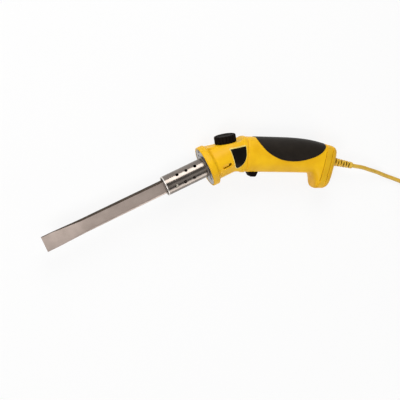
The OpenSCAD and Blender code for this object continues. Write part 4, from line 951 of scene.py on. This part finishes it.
def lay_floor():
    """Pale floor that turns up into a backdrop far from the tool."""
    bm = bmesh.new()
    bmesh.ops.create_grid(bm, x_segments=2, y_segments=2, size=FLOOR_REACH)
    backdrop = bmesh.ops.extrude_edge_only(bm, edges=[e for e in bm.edges if e.is_boundary])["geom"]
    edge = [v for v in backdrop if isinstance(v, bmesh.types.BMVert)]
    bmesh.ops.translate(bm, vec=(0, 0, BACKDROP_RISE), verts=edge)
    mesh = bpy.data.meshes.new("floor")
    bm.to_mesh(mesh)
    bm.free()
    floor = bpy.data.objects.new("floor", mesh)
    floor.location.z = -FLOOR_BELOW
    bpy.context.scene.collection.objects.link(floor)
    material, tree, shader, _ = finish_named("pale_floor")
    shader.inputs["Base Color"].default_value = (0.9, 0.9, 0.9, 1)
    shader.inputs["Roughness"].default_value = 0.9
    # The camera, bright metal and anything clear see most of the floor as white, and some of the shadow stays
    white = tree.nodes.new("ShaderNodeEmission")
    path = tree.nodes.new("ShaderNodeLightPath")
    seen = path.outputs["Is Camera Ray"]
    for ray in ("Is Glossy Ray", "Is Transmission Ray"):
        either = tree.nodes.new("ShaderNodeMath")
        either.operation = "MAXIMUM"
        tree.links.new(seen, either.inputs[0])
        tree.links.new(path.outputs[ray], either.inputs[1])
        seen = either.outputs[0]
    share = tree.nodes.new("ShaderNodeMath")
    share.operation = "MULTIPLY"
    share.inputs[1].default_value = FLOOR_WHITE_SHARE
    mixed = tree.nodes.new("ShaderNodeMixShader")
    tree.links.new(seen, share.inputs[0])
    tree.links.new(share.outputs[0], mixed.inputs[0])
    tree.links.new(shader.outputs[0], mixed.inputs[1])
    tree.links.new(white.outputs[0], mixed.inputs[2])
    tree.links.new(mixed.outputs[0], tree.nodes["Material Output"].inputs["Surface"])
    mesh.materials.append(material)


def lamp(name, place, size, watts):
    """Round soft lamp that faces the tool."""
    data = bpy.data.lights.new(name, "AREA")
    data.shape = "DISK"
    data.size = size
    data.energy = watts
    obj = bpy.data.objects.new(name, data)
    obj.location = place
    obj.rotation_euler = (-Vector(place)).to_track_quat("-Z", "Y").to_euler()
    bpy.context.scene.collection.objects.link(obj)


def light_scene():
    world = bpy.data.worlds.new("studio")
    world.use_nodes = True
    sky = world.node_tree.nodes["Background"]
    sky.inputs["Color"].default_value = (1, 0.985, 0.96, 1)
    sky.inputs["Strength"].default_value = 0.2
    bpy.context.scene.world = world
    lamp("key", (-0.26, 1.38, 1.05), 1.2, 19)
    lamp("front", (-0.75, -0.5, 1.45), 0.9, 11.5)
    lamp("overhead_card", (0.2, -0.38, 1.6), 1.0, 1.7)
    lamp("low_card", (0.85, -1.0, 0.42), 0.8, 4.5)


# Build the object

place_camera()
lay_floor()
light_scene()
cord, cord_exit, cord_length = mains_cord()
plug = plug_moulding()
tie = coil_tie()
boot = relief_boot()
for side in SIDES:
    handle_shell(side)
for side in SIDES:
    grip_skin(side)
head_moulding()
head_flange()
deck_ramp()
hot_blade()
perforated_sleeve()
sleeve_lip()
control_dial()
trigger_button()
for side in SIDES:
    for layer, material in zip(BADGE_LAYERS, (PALE_EDGE, BADGE)):
        badge_plate(side, *layer, material)

# Finishes of the pieces that are shown as their solids
for material, names in (
        (STEEL, "housing_screws vent_plate_screws heater_winding blade_collar collar_screws terminal_screw"),
        (STEEL, "dial_shaft potentiometer pot_nut trigger_spring fan_shaft fan_motor"),
        (STEEL, "cord_clamp_screws plug_pins"),
        (PLATE, "vent_plate"),
        (ALLOY, "heat_sink"),
        (CERAMIC, "mouth_spacer heater_core heater_seal ceramic_disc terminal_block"),
        (CERAMIC, "mains_connector trigger_plunger"),
        (COPPER, "heater_leads feed_leads mains_leads choke"),
        (BOARD, "control_board"),
        (FILM, "capacitor"),
        (BLACK, "trigger_switch fan_impeller fan_mount triac cord_clamp"),
        (CORD, "cord_inner")):
    for name in names.split():
        NODES[name].data.materials.clear()
        NODES[name].data.materials.append(material)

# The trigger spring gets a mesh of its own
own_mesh(NODES["trigger_spring"])

bpy.context.scene.view_settings.view_transform = "Standard"
